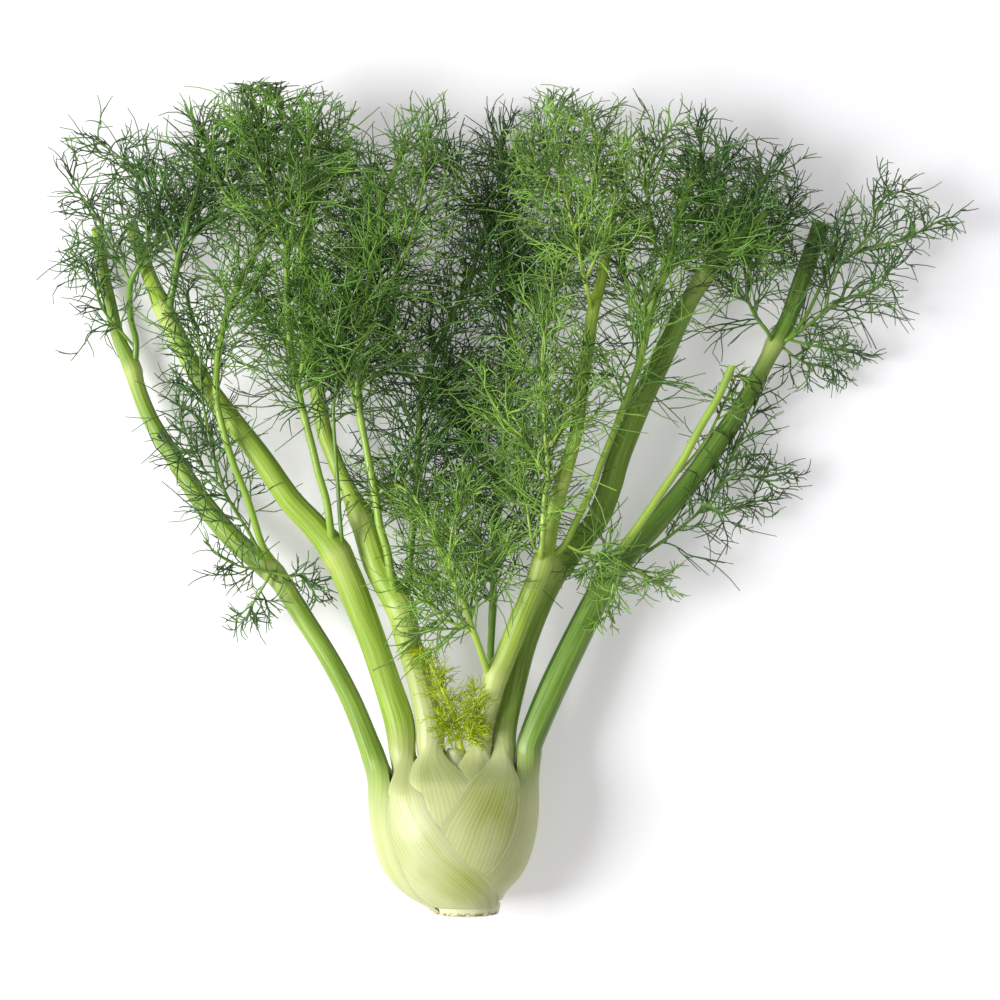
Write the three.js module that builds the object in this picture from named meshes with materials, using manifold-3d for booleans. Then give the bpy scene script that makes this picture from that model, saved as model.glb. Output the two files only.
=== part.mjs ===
// A fennel bulb with its stalks and feathery leaves, lying on its broad side.
// Millimetres, +Z up. The table is the plane Z = 0, +Y runs along the bulb towards the stalks, and the
// origin is the middle of the small flat spot under the bulb that the whole plant rests on.
import * as THREE from "three";
import { mergeVertices } from "three/addons/utils/BufferGeometryUtils.js";
import Module from "manifold-3d";

const wasm = await Module();
wasm.setup();

// Driving dimensions of the bulb
const AXIS_HEIGHT = 33.4; // middle of the bulb above the table, which flattens its lowest millimetre
const HEART_SHOULDER = 24; // Y where the rolled heart begins to narrow
const HEART_TOP = 44; // Y where it is narrowest, between the stalks
const CLEARANCE = 1; // play between one leaf base and the next
const NECK_GAP = 0.3; // play where stalks press together
const HEART_PLAY = 1.2; // extra play round the heart
const HEART_SIDES = 14;
const HEART_CORE = 2.5; // least radius of the heart before it narrows
const HEART_TAPER = [0.72, 0.62]; // shares of its width and depth that it loses at its top
// Y, middle in X, half width, half depth of the whole bulb
const BULB = [
  [-48, 5.7, 18.3, 16.5],
  [-44, 4, 20.8, 18.5],
  [-40, 1, 24.8, 21.5],
  [-36, -0.9, 28.8, 24.4],
  [-28, -1.1, 36.3, 28.6],
  [-19, -1.1, 41.3, 31.8],
  [-6, -1, 45.1, 34.4],
  [6, -1, 46.6, 34.6],
  [18, -1, 47, 32.6],
  [28, -1, 46.8, 28],
  [38, -1, 46.6, 20],
  [50, 1, 46, 13],
];
// Heights Y at which every leaf base is cut into rings, so that neighbours meet ring on ring
const RINGS = [-48, -46, -43, -40, -37, -33, -28, -20, -10, 2, 14, 25, 32, 38, 43, 48];
const LEAF_SIDES = 10; // points across the outer face of a leaf base

// Wall thickness of a leaf base, along its middle
const BASE_WALL = 2.2;
const BELLY_WALL = 8;
const BELLY_RISE = 28; // height over which the wall thickens from the base to the belly
const NECK_RISE = [8, 36]; // heights between which it thickens again towards the stalk
// Wall thickness along its edges
const EDGE_WALL = 0.9;
const NECK_EDGE = 3;
const NECK_EDGE_RISE = [20, 45];

// The six leaves, from the outermost to the innermost. Angles are in degrees round the bulb from the
// middle of the leaf, to its edge on the upper face (front) and on the face towards the table (back).
// A stalk point is X, Y, Z, thickness in the plane of the fan.
const LEAVES = [
  {
    name: "leaf_outer_left",
    side: -1,
    color: 0x8fb04a,
    firstRing: 1,
    blend: [16, 40],
    neckWall: 14.5,
    front: [[-46, 42], [-28, 45], [2, 39], [25, 41], [50, 44]],
    back: [[-46, 60], [-20, 56], [10, 46], [50, 44]],
    stalk: [
      [-43, 14, 34, 15], [-45, 35.75, 34, 13.4], [-48.4, 46.75, 34, 12.2], [-57.4, 68.75, 33, 11.2],
      [-69, 90.75, 31.5, 10.8], [-83.1, 112.75, 29, 10.8], [-97.4, 134.75, 27, 11.4],
      [-104, 141.5, 26, 12.2], [-122.4, 156.75, 24, 11.6], [-141.3, 178.75, 21, 11.2],
      [-155.8, 201, 18.5, 9.8], [-169.4, 222.75, 16, 8.8], [-177.2, 241.5, 14, 8.4],
      [-180.5, 252.5, 12.5, 9.4], [-188, 268.5, 11, 7.2], [-193.5, 289, 9, 7.1], [-197.5, 306, 7, 7],
      [-201.5, 331, 2.9, 6.2],
    ],
  },
  {
    name: "leaf_second_left",
    side: -1,
    color: 0x9fbf57,
    firstRing: 2,
    blend: [20, 44],
    neckWall: 14.5,
    front: [[-46, 152], [-37, 146], [-32, 129], [-23, 110.5], [-15, 95], [-6.6, 86], [3.3, 77], [14, 69],
      [31, 62.5], [50, 62]],
    back: [[-46, 128], [-20, 116], [10, 108], [30, 80], [50, 62]],
    stalk: [
      [-29.5, 14, 34, 15], [-29.5, 38.5, 34, 14.5], [-31, 57, 34.5, 16.6], [-38.1, 79.75, 35.5, 15.2],
      [-45.5, 101.75, 37, 15], [-53.9, 123.75, 39, 15.8], [-60, 139, 40, 16], [-66, 151, 41, 15.8],
      [-77, 164.5, 42, 14.2], [-90.2, 178.75, 43, 13.4], [-105, 200.5, 44.5, 12.2],
      [-122, 222.75, 45, 11.2], [-138.5, 244.75, 44.3, 10.8], [-148.3, 261, 42, 10],
      [-158.3, 280, 37, 10.5], [-168.5, 301, 27.5, 8], [-174.5, 316, 21, 7.8],
      [-180.7, 331.5, 17, 7.2],
    ],
  },
  {
    name: "leaf_outer_right",
    side: 1,
    color: 0x86a94a,
    firstRing: 3,
    blend: [20, 44],
    neckWall: 13.5,
    front: [[-46, 84], [-33, 73], [-25.8, 64], [-21, 56], [-11, 48], [3, 41], [19, 39], [43, 43], [50, 43]],
    back: [[-46, 76], [-20, 62], [10, 50], [50, 43]],
    stalk: [
      [39.5, 14, 34, 14], [40, 38.5, 34, 14.5], [41.5, 48, 34, 14.5], [53.4, 76, 32, 15.5],
      [71.3, 112.75, 28, 14.7], [80.7, 131, 26.5, 13.8], [86.5, 140.5, 25.5, 14.5],
      [95.5, 150.5, 24, 13.2], [112, 168, 22, 12.2], [130, 190, 20, 11.2], [145.7, 212, 18, 10.8],
      [160.3, 233.75, 15, 9.8], [172.3, 256, 13, 9.2], [177.5, 266.5, 12, 10], [184.3, 278.5, 11, 9.4],
      [192, 300, 9, 9.8], [203.7, 333, 5.4, 10],
    ],
  },
  {
    name: "leaf_second_right",
    side: 1,
    color: 0x93b34e,
    firstRing: 4,
    blend: [24, 47],
    neckWall: 11.5,
    front: [[-46, 120], [-30, 112], [2, 96], [6.6, 93], [18.7, 83], [31, 73], [42, 62], [50, 52]],
    back: [[-46, 120], [-20, 104], [10, 92], [30, 70], [50, 52]],
    stalk: [
      [26, 14, 34, 13], [26, 38.5, 33, 13.5], [27, 55, 31, 13.2], [32.6, 79.75, 28.5, 13.2],
      [38.4, 101.75, 26, 13.2], [46.5, 122, 24.5, 13.2], [50.8, 131, 23.8, 13.2], [56.5, 142, 23, 14],
      [64, 150.5, 23, 13.4], [77.5, 167.5, 23, 13], [85, 186, 23.5, 13], [90.5, 204.4, 24.5, 12.8],
      [102.5, 233.75, 26, 12.4], [113, 256, 28, 11.8], [123, 277.75, 29, 10.6], [129.5, 290.5, 30, 10],
      [137, 302.5, 31, 10], [142.7, 311, 32, 8.4], [148, 322, 33, 7.8], [153.7, 342.5, 34, 7.4],
    ],
  },
  {
    name: "leaf_inner_left",
    side: -1,
    color: 0xb5cc6a,
    firstRing: 5,
    blend: [24, 48],
    neckWall: 15.5,
    front: [[-46, 118], [10, 108], [27, 100], [33.5, 95], [41, 86], [50, 80]],
    back: [[-46, 118], [10, 104], [30, 92], [50, 78]],
    stalk: [
      [-13, 14, 34, 15.5], [-14, 41, 35, 15.5], [-14.5, 57, 36, 15.4], [-19.9, 79.75, 38, 13.2],
      [-25.9, 101.75, 40, 14.2], [-30, 119.5, 41, 15.5], [-38.5, 133.5, 37, 14.8],
      [-44.3, 146, 34, 15], [-50, 164, 31, 14.2], [-53.5, 172.5, 30, 12.5], [-59, 184, 28.5, 9.4],
      [-64, 194, 28, 8.6], [-69, 206.5, 27, 8.4], [-73.5, 220, 26, 8.4], [-80, 261, 23, 8.2],
      [-82.5, 289, 22, 7.6], [-84, 316, 21, 7.2], [-81.5, 344, 20, 6.6], [-78, 368.5, 20, 6],
    ],
  },
  {
    name: "leaf_inner_right",
    side: 1,
    color: 0xb2ca62,
    firstRing: 6,
    blend: [24, 48],
    neckWall: 15,
    front: [[-46, 116], [10, 104], [30, 92], [43, 84], [50, 80]],
    back: [[-46, 116], [10, 104], [30, 90], [50, 78]],
    stalk: [
      [12, 14, 34, 15], [12.5, 41, 36, 14.5], [14.5, 57.75, 38.5, 13], [18.6, 70, 41, 12.6],
      [22, 82.5, 43, 12.8], [26.2, 91, 44, 12.2], [34.8, 113, 47, 11.4], [43.3, 134, 50.5, 11.2],
      [47.2, 145, 52, 11.4], [50, 154, 52.5, 9], [52.5, 167.8, 53.5, 8.4], [58.3, 189.8, 55, 8.2],
      [63.6, 208, 55, 7.4], [66.5, 222, 55, 7.2], [72.5, 267, 53, 6.8], [75, 283, 52, 6.8],
      [79, 297, 50, 6], [82.5, 316, 48, 5], [86, 335.5, 46, 4.5],
    ],
  },
];
const STALK_DEPTH = 0.95; // depth of a stalk over its thickness
const STALK_SIDES = LEAF_SIDES; // sides of a stalk above the bulb
const STALK_STEP = 2; // stations between the rings of a stalk
const SHEATH_WRAP = 140; // degrees that a leaf's outer face wraps round its young stalk to either side
const WRAP_FALL = [32, 54]; // heights between which the outer face narrows to half of the stalk
const EDGE_FADE = 14; // degrees over which a covering leaf's step fades past its edge

// Small helpers on numbers and curves
const radians = THREE.MathUtils.degToRad;
const lerp = THREE.MathUtils.lerp;
const smooth = (x) => THREE.MathUtils.smoothstep(x, 0, 1);
const rise = (y, [from, to]) => smooth((y - from) / (to - from));
const vector = (x, y, z) => new THREE.Vector3(x, y, z);

// A smooth curve through the rows of a table keyed by its first column.
function profile(table, key, column = 1) {
  const last = table.length - 1;
  if (key <= table[0][0]) return table[0][column];
  if (key >= table[last][0]) return table[last][column];
  let i = 0;
  while (key > table[i + 1][0]) i += 1;
  const slope = (k) => {
    const [from, to] = [table[Math.max(k - 1, 0)], table[Math.min(k + 1, last)]];
    return (to[column] - from[column]) / (to[0] - from[0]);
  };
  const width = table[i + 1][0] - table[i][0];
  const t = (key - table[i][0]) / width;
  const rise = table[i + 1][column] - table[i][column];
  const bend = t * (1 - t) * ((1 - t) * (slope(i) * width - rise) - t * (slope(i + 1) * width - rise));
  return table[i][column] + t * rise + bend;
}

// A point, of any number of values, on the smooth curve through hand-set stations; t counts stations.
function along(stations, t) {
  const last = stations.length - 1;
  const i = Math.min(Math.floor(t), last - 1);
  const f = t - i;
  return stations[0].map((_, c) => {
    const p1 = stations[i][c];
    const p2 = stations[i + 1][c];
    const p0 = i > 0 ? stations[i - 1][c] : 2 * p1 - p2;
    const p3 = i + 2 <= last ? stations[i + 2][c] : 2 * p2 - p1;
    return (
      p1 +
      0.5 * f * (p2 - p0 + f * (2 * p0 - 5 * p1 + 4 * p2 - p3 + f * (3 * (p1 - p2) + p3 - p0)))
    );
  });
}

// The leaf bases, nested round the bulb's axis
const sideAngle = (leaf, turn) => (leaf.side > 0 ? turn : 180 - turn);

function turnFrom(leaf, angle) {
  const turn = leaf.side > 0 ? angle : 180 - angle;
  return ((((turn + 180) % 360) + 360) % 360) - 180;
}

function reach(leaf, turn, y) {
  return profile(turn >= 0 ? leaf.front : leaf.back, y);
}

function wall(leaf, turn, y) {
  const across = Math.min(Math.abs(turn) / reach(leaf, turn, y), 1);
  const start = RINGS[leaf.firstRing];
  const middle =
    lerp(BASE_WALL, BELLY_WALL, smooth((y - start) / BELLY_RISE)) +
    (leaf.neckWall - BELLY_WALL) * rise(y, NECK_RISE);
  const edge = lerp(EDGE_WALL, NECK_EDGE, rise(y, NECK_EDGE_RISE));
  return lerp(middle, edge, across * across);
}

function cover(leaf, turn, y) {
  const start = RINGS[leaf.firstRing];
  const below = RINGS[leaf.firstRing - 1];
  const past = Math.abs(turn) - reach(leaf, turn, y);
  return smooth((y - below) / (start - below)) * (1 - smooth(past / EDGE_FADE));
}

// Depth below the bulb's outer face of what lies under the first `count` leaves.
function depthUnder(count, angle, y) {
  let depth = 0;
  for (const leaf of LEAVES.slice(0, count)) {
    const turn = turnFrom(leaf, angle);
    depth += cover(leaf, turn, y) * (wall(leaf, turn, y) + CLEARANCE);
  }
  return depth;
}

// The point of the bulb at an angle round its axis, so far below its outer face.
function bulbPoint(angle, y, depth, chord = 0, least = 0) {
  const x = profile(BULB, y, 2) * Math.cos(radians(angle));
  const z = profile(BULB, y, 3) * Math.sin(radians(angle));
  const far = Math.hypot(x, z);
  const scale = Math.max(far - depth, least) / far / Math.cos(radians(chord / 2));
  return vector(profile(BULB, y, 1) + x * scale, y, AXIS_HEIGHT + z * scale);
}

// A stalk's middle, direction and size at t along its stations.
function stalkAt(leaf, t) {
  const [x, y, z, thickness] = along(leaf.stalk, t);
  const step = 0.02;
  const before = along(leaf.stalk, Math.max(t - step, 0));
  const after = along(leaf.stalk, Math.min(t + step, leaf.stalk.length - 1));
  const ahead = vector(after[0] - before[0], after[1] - before[1], after[2] - before[2]).normalize();
  const outward = ahead.clone().cross(vector(0, 0, 1)).normalize().multiplyScalar(leaf.side);
  const upward = outward.clone().cross(ahead).multiplyScalar(leaf.side).normalize();
  return { middle: vector(x, y, z), outward, upward, thickness };
}

// Where along its stations a stalk passes a height Y.
function stalkAtHeight(leaf, y) {
  let [low, high] = [0, 3];
  for (let i = 0; i < 30; i += 1) {
    const t = (low + high) / 2;
    if (along(leaf.stalk, t)[1] < y) low = t;
    else high = t;
  }
  return (low + high) / 2;
}

// A ring of a stalk, outer points from the back edge to the front edge, then inner points back again.
function stalkRing(leaf, t, points, wrap = 90) {
  const { middle, outward, upward, thickness } = stalkAt(leaf, t);
  const edge = wrap - wrap / points;
  const innerEdge = 180 - wrap - (180 - wrap) / points;
  const ring = [];
  for (let i = 0; i < 2 * points; i += 1) {
    const outer = i < points;
    const across = (outer ? i : i - points) / (points - 1);
    const inner = lerp(180 - innerEdge, 180 + innerEdge, across);
    const turn = radians(outer ? lerp(-edge, edge, across) : inner);
    ring.push(
      middle
        .clone()
        .addScaledVector(outward, (thickness / 2) * Math.cos(turn))
        .addScaledVector(upward, ((thickness * STALK_DEPTH) / 2) * Math.sin(turn)),
    );
  }
  return ring;
}

// A ring of a leaf base at a height Y.
function baseRing(leaf, order, y) {
  const front = profile(leaf.front, y);
  const back = profile(leaf.back, y);
  const step = (front + back) / (LEAF_SIDES - 1);
  const ring = [];
  for (let i = 0; i < 2 * LEAF_SIDES; i += 1) {
    const outer = i < LEAF_SIDES;
    const across = outer ? i : 2 * LEAF_SIDES - 1 - i;
    const turn = -back + step * across;
    const angle = sideAngle(leaf, turn);
    const depth = depthUnder(order, angle, y) + (outer ? 0 : wall(leaf, turn, y));
    ring.push(bulbPoint(angle, y, depth, outer ? 0 : step));
  }
  return ring;
}

// Closed solids from rings of points
function makeSolid(points, triangles) {
  const geometry = new THREE.BufferGeometry();
  geometry.setAttribute(
    "position",
    new THREE.Float32BufferAttribute(points.flatMap((p) => [p.x, p.y, p.z]), 3),
  );
  geometry.setIndex(triangles.flat());
  return solidFromGeometry(geometry);
}

function solidFromGeometry(geometry) {
  geometry.deleteAttribute("normal");
  geometry.deleteAttribute("uv");
  const merged = mergeVertices(geometry, 1e-4);
  const build = (triVerts) =>
    new wasm.Manifold(
      new wasm.Mesh({ numProp: 3, vertProperties: merged.attributes.position.array, triVerts }),
    );
  const indices = new Uint32Array(merged.index.array);
  const solid = build(indices);
  if (solid.volume() > 0) return solid;
  for (let i = 0; i < indices.length; i += 3) {
    [indices[i + 1], indices[i + 2]] = [indices[i + 2], indices[i + 1]];
  }
  return build(indices);
}

function toGeometry(solid) {
  const mesh = solid.getMesh();
  const geometry = new THREE.BufferGeometry();
  geometry.setAttribute("position", new THREE.BufferAttribute(mesh.vertProperties, 3));
  geometry.setIndex(new THREE.BufferAttribute(mesh.triVerts, 1));
  return geometry;
}

// The same solid with its skin moved out along its normals, to cut a neighbour clear of it.
function grown(solid, by) {
  const geometry = toGeometry(solid);
  geometry.computeVertexNormals();
  const { position, normal } = geometry.attributes;
  const points = [];
  for (let i = 0; i < position.count; i += 1) {
    const point = new THREE.Vector3().fromBufferAttribute(position, i);
    points.push(point.addScaledVector(new THREE.Vector3().fromBufferAttribute(normal, i), by));
  }
  return makeSolid(points, [Array.from(geometry.index.array)]);
}

function largestPiece(solid) {
  return solid.decompose().sort((a, b) => b.volume() - a.volume())[0];
}

// A skin over rings of equal count, or of half the count from one ring on, closed at both ends.
function loft(rings) {
  const points = [];
  const triangles = [];
  const starts = [];
  for (const ring of rings) {
    starts.push(points.length);
    points.push(...ring);
  }
  for (let r = 0; r + 1 < rings.length; r += 1) {
    const count = rings[r].length;
    const next = rings[r + 1].length;
    const [a, b] = [starts[r], starts[r + 1]];
    for (let i = 0; i < next; i += 1) {
      const j = (i + 1) % next;
      if (next === count) {
        triangles.push([a + i, a + j, b + j], [a + i, b + j, b + i]);
      } else {
        const [first, middle, last] = [2 * i, 2 * i + 1, (2 * i + 2) % count];
        triangles.push([a + first, a + middle, b + i], [a + middle, a + last, b + j]);
        triangles.push([a + middle, b + j, b + i]);
      }
    }
  }
  closeEnd(points, triangles, starts[0], rings[0], true);
  closeEnd(points, triangles, starts.at(-1), rings.at(-1), false);
  return makeSolid(points, triangles);
}

// A ladder of triangles between the outer and the inner points of an end ring.
function closeEnd(points, triangles, start, ring, first) {
  const count = ring.length;
  for (let i = 0; i + 1 < count / 2; i += 1) {
    const [a, b, c, d] = [i, i + 1, count - 2 - i, count - 1 - i].map((k) => start + k);
    triangles.push(first ? [a, c, b] : [a, b, c]);
    triangles.push(first ? [a, d, c] : [a, c, d]);
  }
}

function makeLeaf(leaf, order) {
  const rings = [];
  for (const y of RINGS.slice(leaf.firstRing)) {
    const base = baseRing(leaf, order, y);
    const blend = rise(y, leaf.blend);
    if (blend > 0) {
      const wrap = lerp(SHEATH_WRAP, 90, rise(y, WRAP_FALL));
      const stalk = stalkRing(leaf, stalkAtHeight(leaf, y), LEAF_SIDES, wrap);
      base.forEach((point, i) => point.lerp(stalk[i], blend));
    }
    rings.push(base);
  }
  const firstOnStalk = Math.ceil(stalkAtHeight(leaf, RINGS.at(-1)) + 0.4);
  const last = leaf.stalk.length - 1;
  const count = Math.round((last - firstOnStalk) / STALK_STEP);
  for (let i = 0; i <= count; i += 1) {
    rings.push(stalkRing(leaf, lerp(firstOnStalk, last, i / count), STALK_SIDES / 2));
  }
  return loft(rings);
}

// The trimmed root end, the short stem above it and the rolled heart, grown as one
function makeHeart() {
  const rings = RINGS.slice(0, -1).map((y) => {
    const narrowing = HEART_TAPER.map((share) => 1 - share * rise(y, [HEART_SHOULDER, HEART_TOP]));
    const ring = [];
    for (let i = 0; i < HEART_SIDES; i += 1) {
      const angle = (360 * i) / HEART_SIDES;
      const point = bulbPoint(angle, y, depthUnder(LEAVES.length, angle, y) + HEART_PLAY, 0, HEART_CORE);
      point.x = lerp(profile(BULB, y, 1), point.x, narrowing[0]);
      point.z = lerp(AXIS_HEIGHT, point.z, narrowing[1]);
      ring.push(point);
    }
    return ring;
  });
  return loft(rings);
}

// The feathery leaf ends: limbs that branch off a stalk, each carrying sprays of needles.
// A limb has a radius at its base and tip in mm, the share of its length where the sprays begin, the
// length of a spray, and its route as X, Y, Z.
const limb = (base, tip, from, spray, route) => ({ base, tip, from, spray, route });
const FRONDS = [
  {
    name: "frond_outer_left_tip",
    color: 0x3f6b25,
    limbs: [
      limb(1.9, 1.4, 0.4, 34, [
        [-179, 252, 13], [-178, 267, 15], [-180, 278, 20], [-180, 289, 26], [-179, 297, 31],
        [-175, 305, 35], [-168, 316, 37], [-155, 326, 39], [-146, 333, 40], [-141, 341, 41],
      ]),
      limb(0.9, 0.5, 0.1, 24, [
        [-179, 299, 31.5], [-185, 310, 32], [-191, 322, 33], [-197, 334, 34], [-204, 344, 35],
        [-210, 353, 36],
      ]),
      limb(0.9, 0.5, 0.15, 26, [
        [-168, 316, 37], [-169, 328, 40], [-168, 341, 42], [-170, 350, 43], [-177, 360, 44],
        [-186, 368, 45], [-194, 373, 46],
      ]),
      limb(0.8, 0.5, 0.15, 20, [
        [-179, 264, 14.4], [-186, 272, 16], [-193, 280, 18], [-198, 289, 20], [-200, 300, 22],
        [-207, 310, 23], [-213, 315, 24],
      ]),
    ],
  },
  {
    name: "frond_outer_left_long",
    color: 0x578c31,
    limbs: [
      limb(2, 1.6, 0.42, 32, [
        [-101, 145, 26], [-106, 154, 36], [-110, 168, 42], [-113, 179, 47], [-117, 190, 51],
        [-121, 201, 55], [-127, 223, 58], [-129, 234, 57.5], [-129, 248, 56], [-128, 261, 54],
        [-123, 283, 51], [-113, 305, 50], [-96, 335, 50], [-81, 347, 50], [-64, 361, 50],
      ]),
      limb(0.9, 0.5, 0.1, 30, [
        [-96, 335, 50], [-99, 346, 53], [-101, 360, 56], [-103, 374, 58], [-107, 388, 60],
        [-111, 398, 61],
      ]),
      limb(0.9, 0.5, 0.2, 28, [
        [-96, 335, 50], [-107, 341, 52], [-116, 338, 52], [-123, 342, 53], [-129, 353, 55],
        [-133, 366, 57], [-137, 380, 58],
      ]),
      limb(0.8, 0.5, 0.1, 26, [
        [-89, 341, 50], [-90, 355, 54], [-91, 371, 57], [-94, 388, 59], [-97, 397, 60],
      ]),
      limb(0.8, 0.5, 0.1, 22, [
        [-72, 354, 50], [-70, 365, 52], [-67, 375, 53], [-62, 382, 54],
      ]),
    ],
  },
  {
    name: "frond_outer_left_low",
    color: 0x3f6b25,
    limbs: [
      limb(0.95, 0.5, 0.1, 26, [
        [-107, 148, 28], [-114, 161, 29], [-122, 174, 31], [-127, 184, 33], [-130, 195, 35],
        [-133, 206, 38], [-135, 220, 47], [-137, 234, 53.5], [-138, 248, 54], [-138, 255, 54],
        [-139, 267, 54], [-143, 279, 55], [-146, 289, 55.5],
      ]),
      limb(0.8, 0.5, 0.1, 22, [
        [-127, 184, 33], [-138, 195, 30], [-145, 206, 29], [-150, 220, 29], [-153, 234, 28],
      ]),
    ],
  },
  {
    name: "frond_outer_left_node",
    color: 0x3f6b25,
    limbs: [
      limb(0.9, 0.5, 0.45, 18, [
        [-101, 139, 26], [-101, 139, 35.5], [-107, 129, 34], [-112, 121, 30], [-116, 113, 26],
      ]),
      limb(0.8, 0.5, 0.2, 18, [
        [-101, 139, 35.5], [-111, 141, 37], [-120, 143, 36], [-130, 148, 35],
      ]),
      limb(0.8, 0.5, 0.2, 18, [
        [-101, 139, 35.5], [-91, 137, 35], [-84, 137, 33], [-78, 128, 30],
      ]),
    ],
  },
  {
    name: "frond_second_left_tip",
    color: 0x3f6b25,
    limbs: [
      limb(2.2, 0.8, 0.25, 32, [
        [-157, 280, 37], [-155, 289, 44], [-153, 297, 46], [-151, 310, 47], [-147, 322, 47.5],
        [-145, 333, 48], [-141, 345, 49], [-138, 358, 50], [-134, 367, 51], [-127, 371, 52],
        [-119, 373, 52],
      ]),
      limb(0.8, 0.5, 0.1, 26, [
        [-151, 310, 47], [-156, 322, 48], [-161, 336, 49], [-164, 349, 50], [-168, 361, 51],
      ]),
      limb(0.8, 0.5, 0.1, 26, [
        [-147, 322, 47.5], [-139, 328, 45], [-130, 335, 43], [-121, 344, 42], [-117, 356, 42],
      ]),
    ],
  },
  {
    name: "frond_second_left_front",
    color: 0x578c31,
    limbs: [
      limb(2.1, 1.9, 0.45, 30, [
        [-67, 152, 41], [-68, 165, 50.5], [-70, 179, 53], [-74, 193, 55], [-77, 206, 56],
        [-84, 234, 57.5], [-89, 261, 58], [-91, 289, 57], [-91, 315, 56],
      ]),
      limb(1, 0.5, 0.1, 30, [
        [-91, 315, 56], [-95, 324, 58], [-99, 336, 60], [-102, 349, 62], [-106, 361, 63],
        [-109, 377, 64], [-112, 389, 64],
      ]),
      limb(1.3, 0.5, 0.1, 28, [
        [-91, 315, 56], [-87, 330, 58], [-84, 344, 60], [-82, 360, 61], [-79, 374, 62], [-77, 385, 62],
      ]),
      limb(1.4, 0.5, 0.1, 26, [
        [-85, 240, 58], [-82, 256, 58.5], [-82, 289, 58], [-83, 315, 57], [-79, 328, 57],
        [-74, 343, 56], [-67, 356, 56], [-62, 368, 56],
      ]),
      limb(0.8, 0.5, 0.1, 24, [
        [-89, 258, 58], [-97, 270, 57.5], [-105, 283, 57], [-110, 296, 57.5],
      ]),
    ],
  },
  {
    name: "frond_second_left_side",
    color: 0x3f6b25,
    limbs: [
      limb(1.2, 0.5, 0.35, 28, [
        [-61, 150, 41], [-62, 160, 48], [-63, 173, 49.5], [-64, 190, 51], [-65, 206, 53],
        [-66, 226, 55], [-64, 242, 56], [-59, 272, 55], [-57, 294, 54], [-55, 316, 53], [-52, 336, 52],
        [-48, 355, 51],
      ]),
    ],
  },
  {
    name: "frond_inner_left_front",
    color: 0x578c31,
    limbs: [
      limb(2.4, 1.2, 0.4, 32, [
        [-31, 123, 41], [-35, 138, 49.5], [-37, 151, 51], [-41, 165, 53], [-43, 179, 54],
        [-48, 206, 55.5], [-53, 235, 56], [-51, 256, 56], [-50, 272, 55.5], [-47, 294, 55],
        [-43, 316, 54], [-40, 338, 53], [-31, 363, 51], [-27, 373, 50],
      ]),
      limb(0.9, 0.5, 0.1, 24, [
        [-53, 235, 56], [-59, 248, 59], [-65, 261, 61], [-69, 278, 62], [-72, 293, 63],
      ]),
      limb(0.9, 0.5, 0.1, 26, [
        [-50, 272, 55.5], [-39, 289, 57], [-31, 302, 58], [-24, 319, 59], [-20, 336, 60],
        [-16, 358, 60], [-15, 374, 60],
      ]),
    ],
  },
  {
    name: "frond_inner_left_back",
    color: 0x3f6b25,
    limbs: [
      limb(2.2, 1.2, 0.2, 32, [
        [-28, 120, 41], [-26, 135, 32], [-25, 151, 31], [-22, 179, 30], [-21, 206, 29], [-19, 238, 28],
        [-14, 252, 27], [-10, 263, 26], [-3, 279, 25], [3, 292, 24], [9, 305, 23], [13, 319, 22],
        [19, 332, 21],
      ]),
      limb(0.9, 0.5, 0.1, 26, [
        [-19, 238, 28], [-28, 253, 30], [-35, 270, 31], [-42, 289, 32], [-46, 311, 33], [-47, 330, 34],
      ]),
      limb(0.9, 0.5, 0.1, 26, [
        [19, 332, 21], [12, 344, 23], [3, 355, 24], [-5, 365, 25],
      ]),
      limb(0.9, 0.5, 0.1, 26, [
        [3, 292, 24], [16, 298, 28], [29, 306, 31], [40, 315, 33],
      ]),
    ],
  },
  {
    name: "frond_centre_back",
    color: 0x3f6b25,
    limbs: [
      limb(2, 1.8, 0.14, 32, [
        [20, 82, 42], [19, 94, 32], [20, 113, 25], [21, 140, 20], [23, 168, 18], [24, 190, 17],
        [30, 234, 15], [32, 256, 15], [30, 272, 14.5], [29, 300, 14], [29, 328, 14], [26, 348, 14],
        [25, 372, 14],
      ]),
      limb(1, 0.5, 0.1, 26, [
        [29, 328, 14], [35, 341, 16], [40, 355, 18], [42, 366, 20], [49, 376, 22], [60, 381, 23],
      ]),
      limb(0.9, 0.5, 0.1, 28, [
        [30, 272, 14.5], [41, 286, 17], [49, 300, 19], [57, 314, 20], [65, 326, 21],
      ]),
      limb(0.9, 0.5, 0.1, 28, [
        [24, 190, 17], [13, 204, 19], [3, 220, 20], [-2, 237, 19], [-3, 249, 18],
      ]),
    ],
  },
  {
    name: "frond_inner_right_low",
    color: 0x6f9f38,
    limbs: [
      limb(2, 0.6, 0.2, 26, [
        [18, 83, 44], [14, 96, 53], [10, 107, 56], [6, 119, 58], [3, 126, 59], [-7, 148, 59],
        [-14, 165, 58], [-22, 180, 56], [-28, 185, 53], [-33, 187, 49], [-38, 182, 45],
      ]),
      limb(0.8, 0.5, 0.1, 22, [
        [3, 126, 59], [8, 135, 61], [12, 143, 62], [19, 148, 62], [23, 153, 61],
      ]),
      limb(0.8, 0.5, 0.1, 22, [
        [-3, 139, 59], [-3, 148, 62], [-2, 160, 63], [1, 173, 63], [3, 184, 62],
      ]),
      limb(0.8, 0.5, 0.1, 22, [
        [10, 107, 56], [-1, 112, 56], [-10, 118, 55], [-16, 127, 54],
      ]),
    ],
  },
  {
    name: "frond_inner_right_front",
    color: 0x6f9f38,
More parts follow.
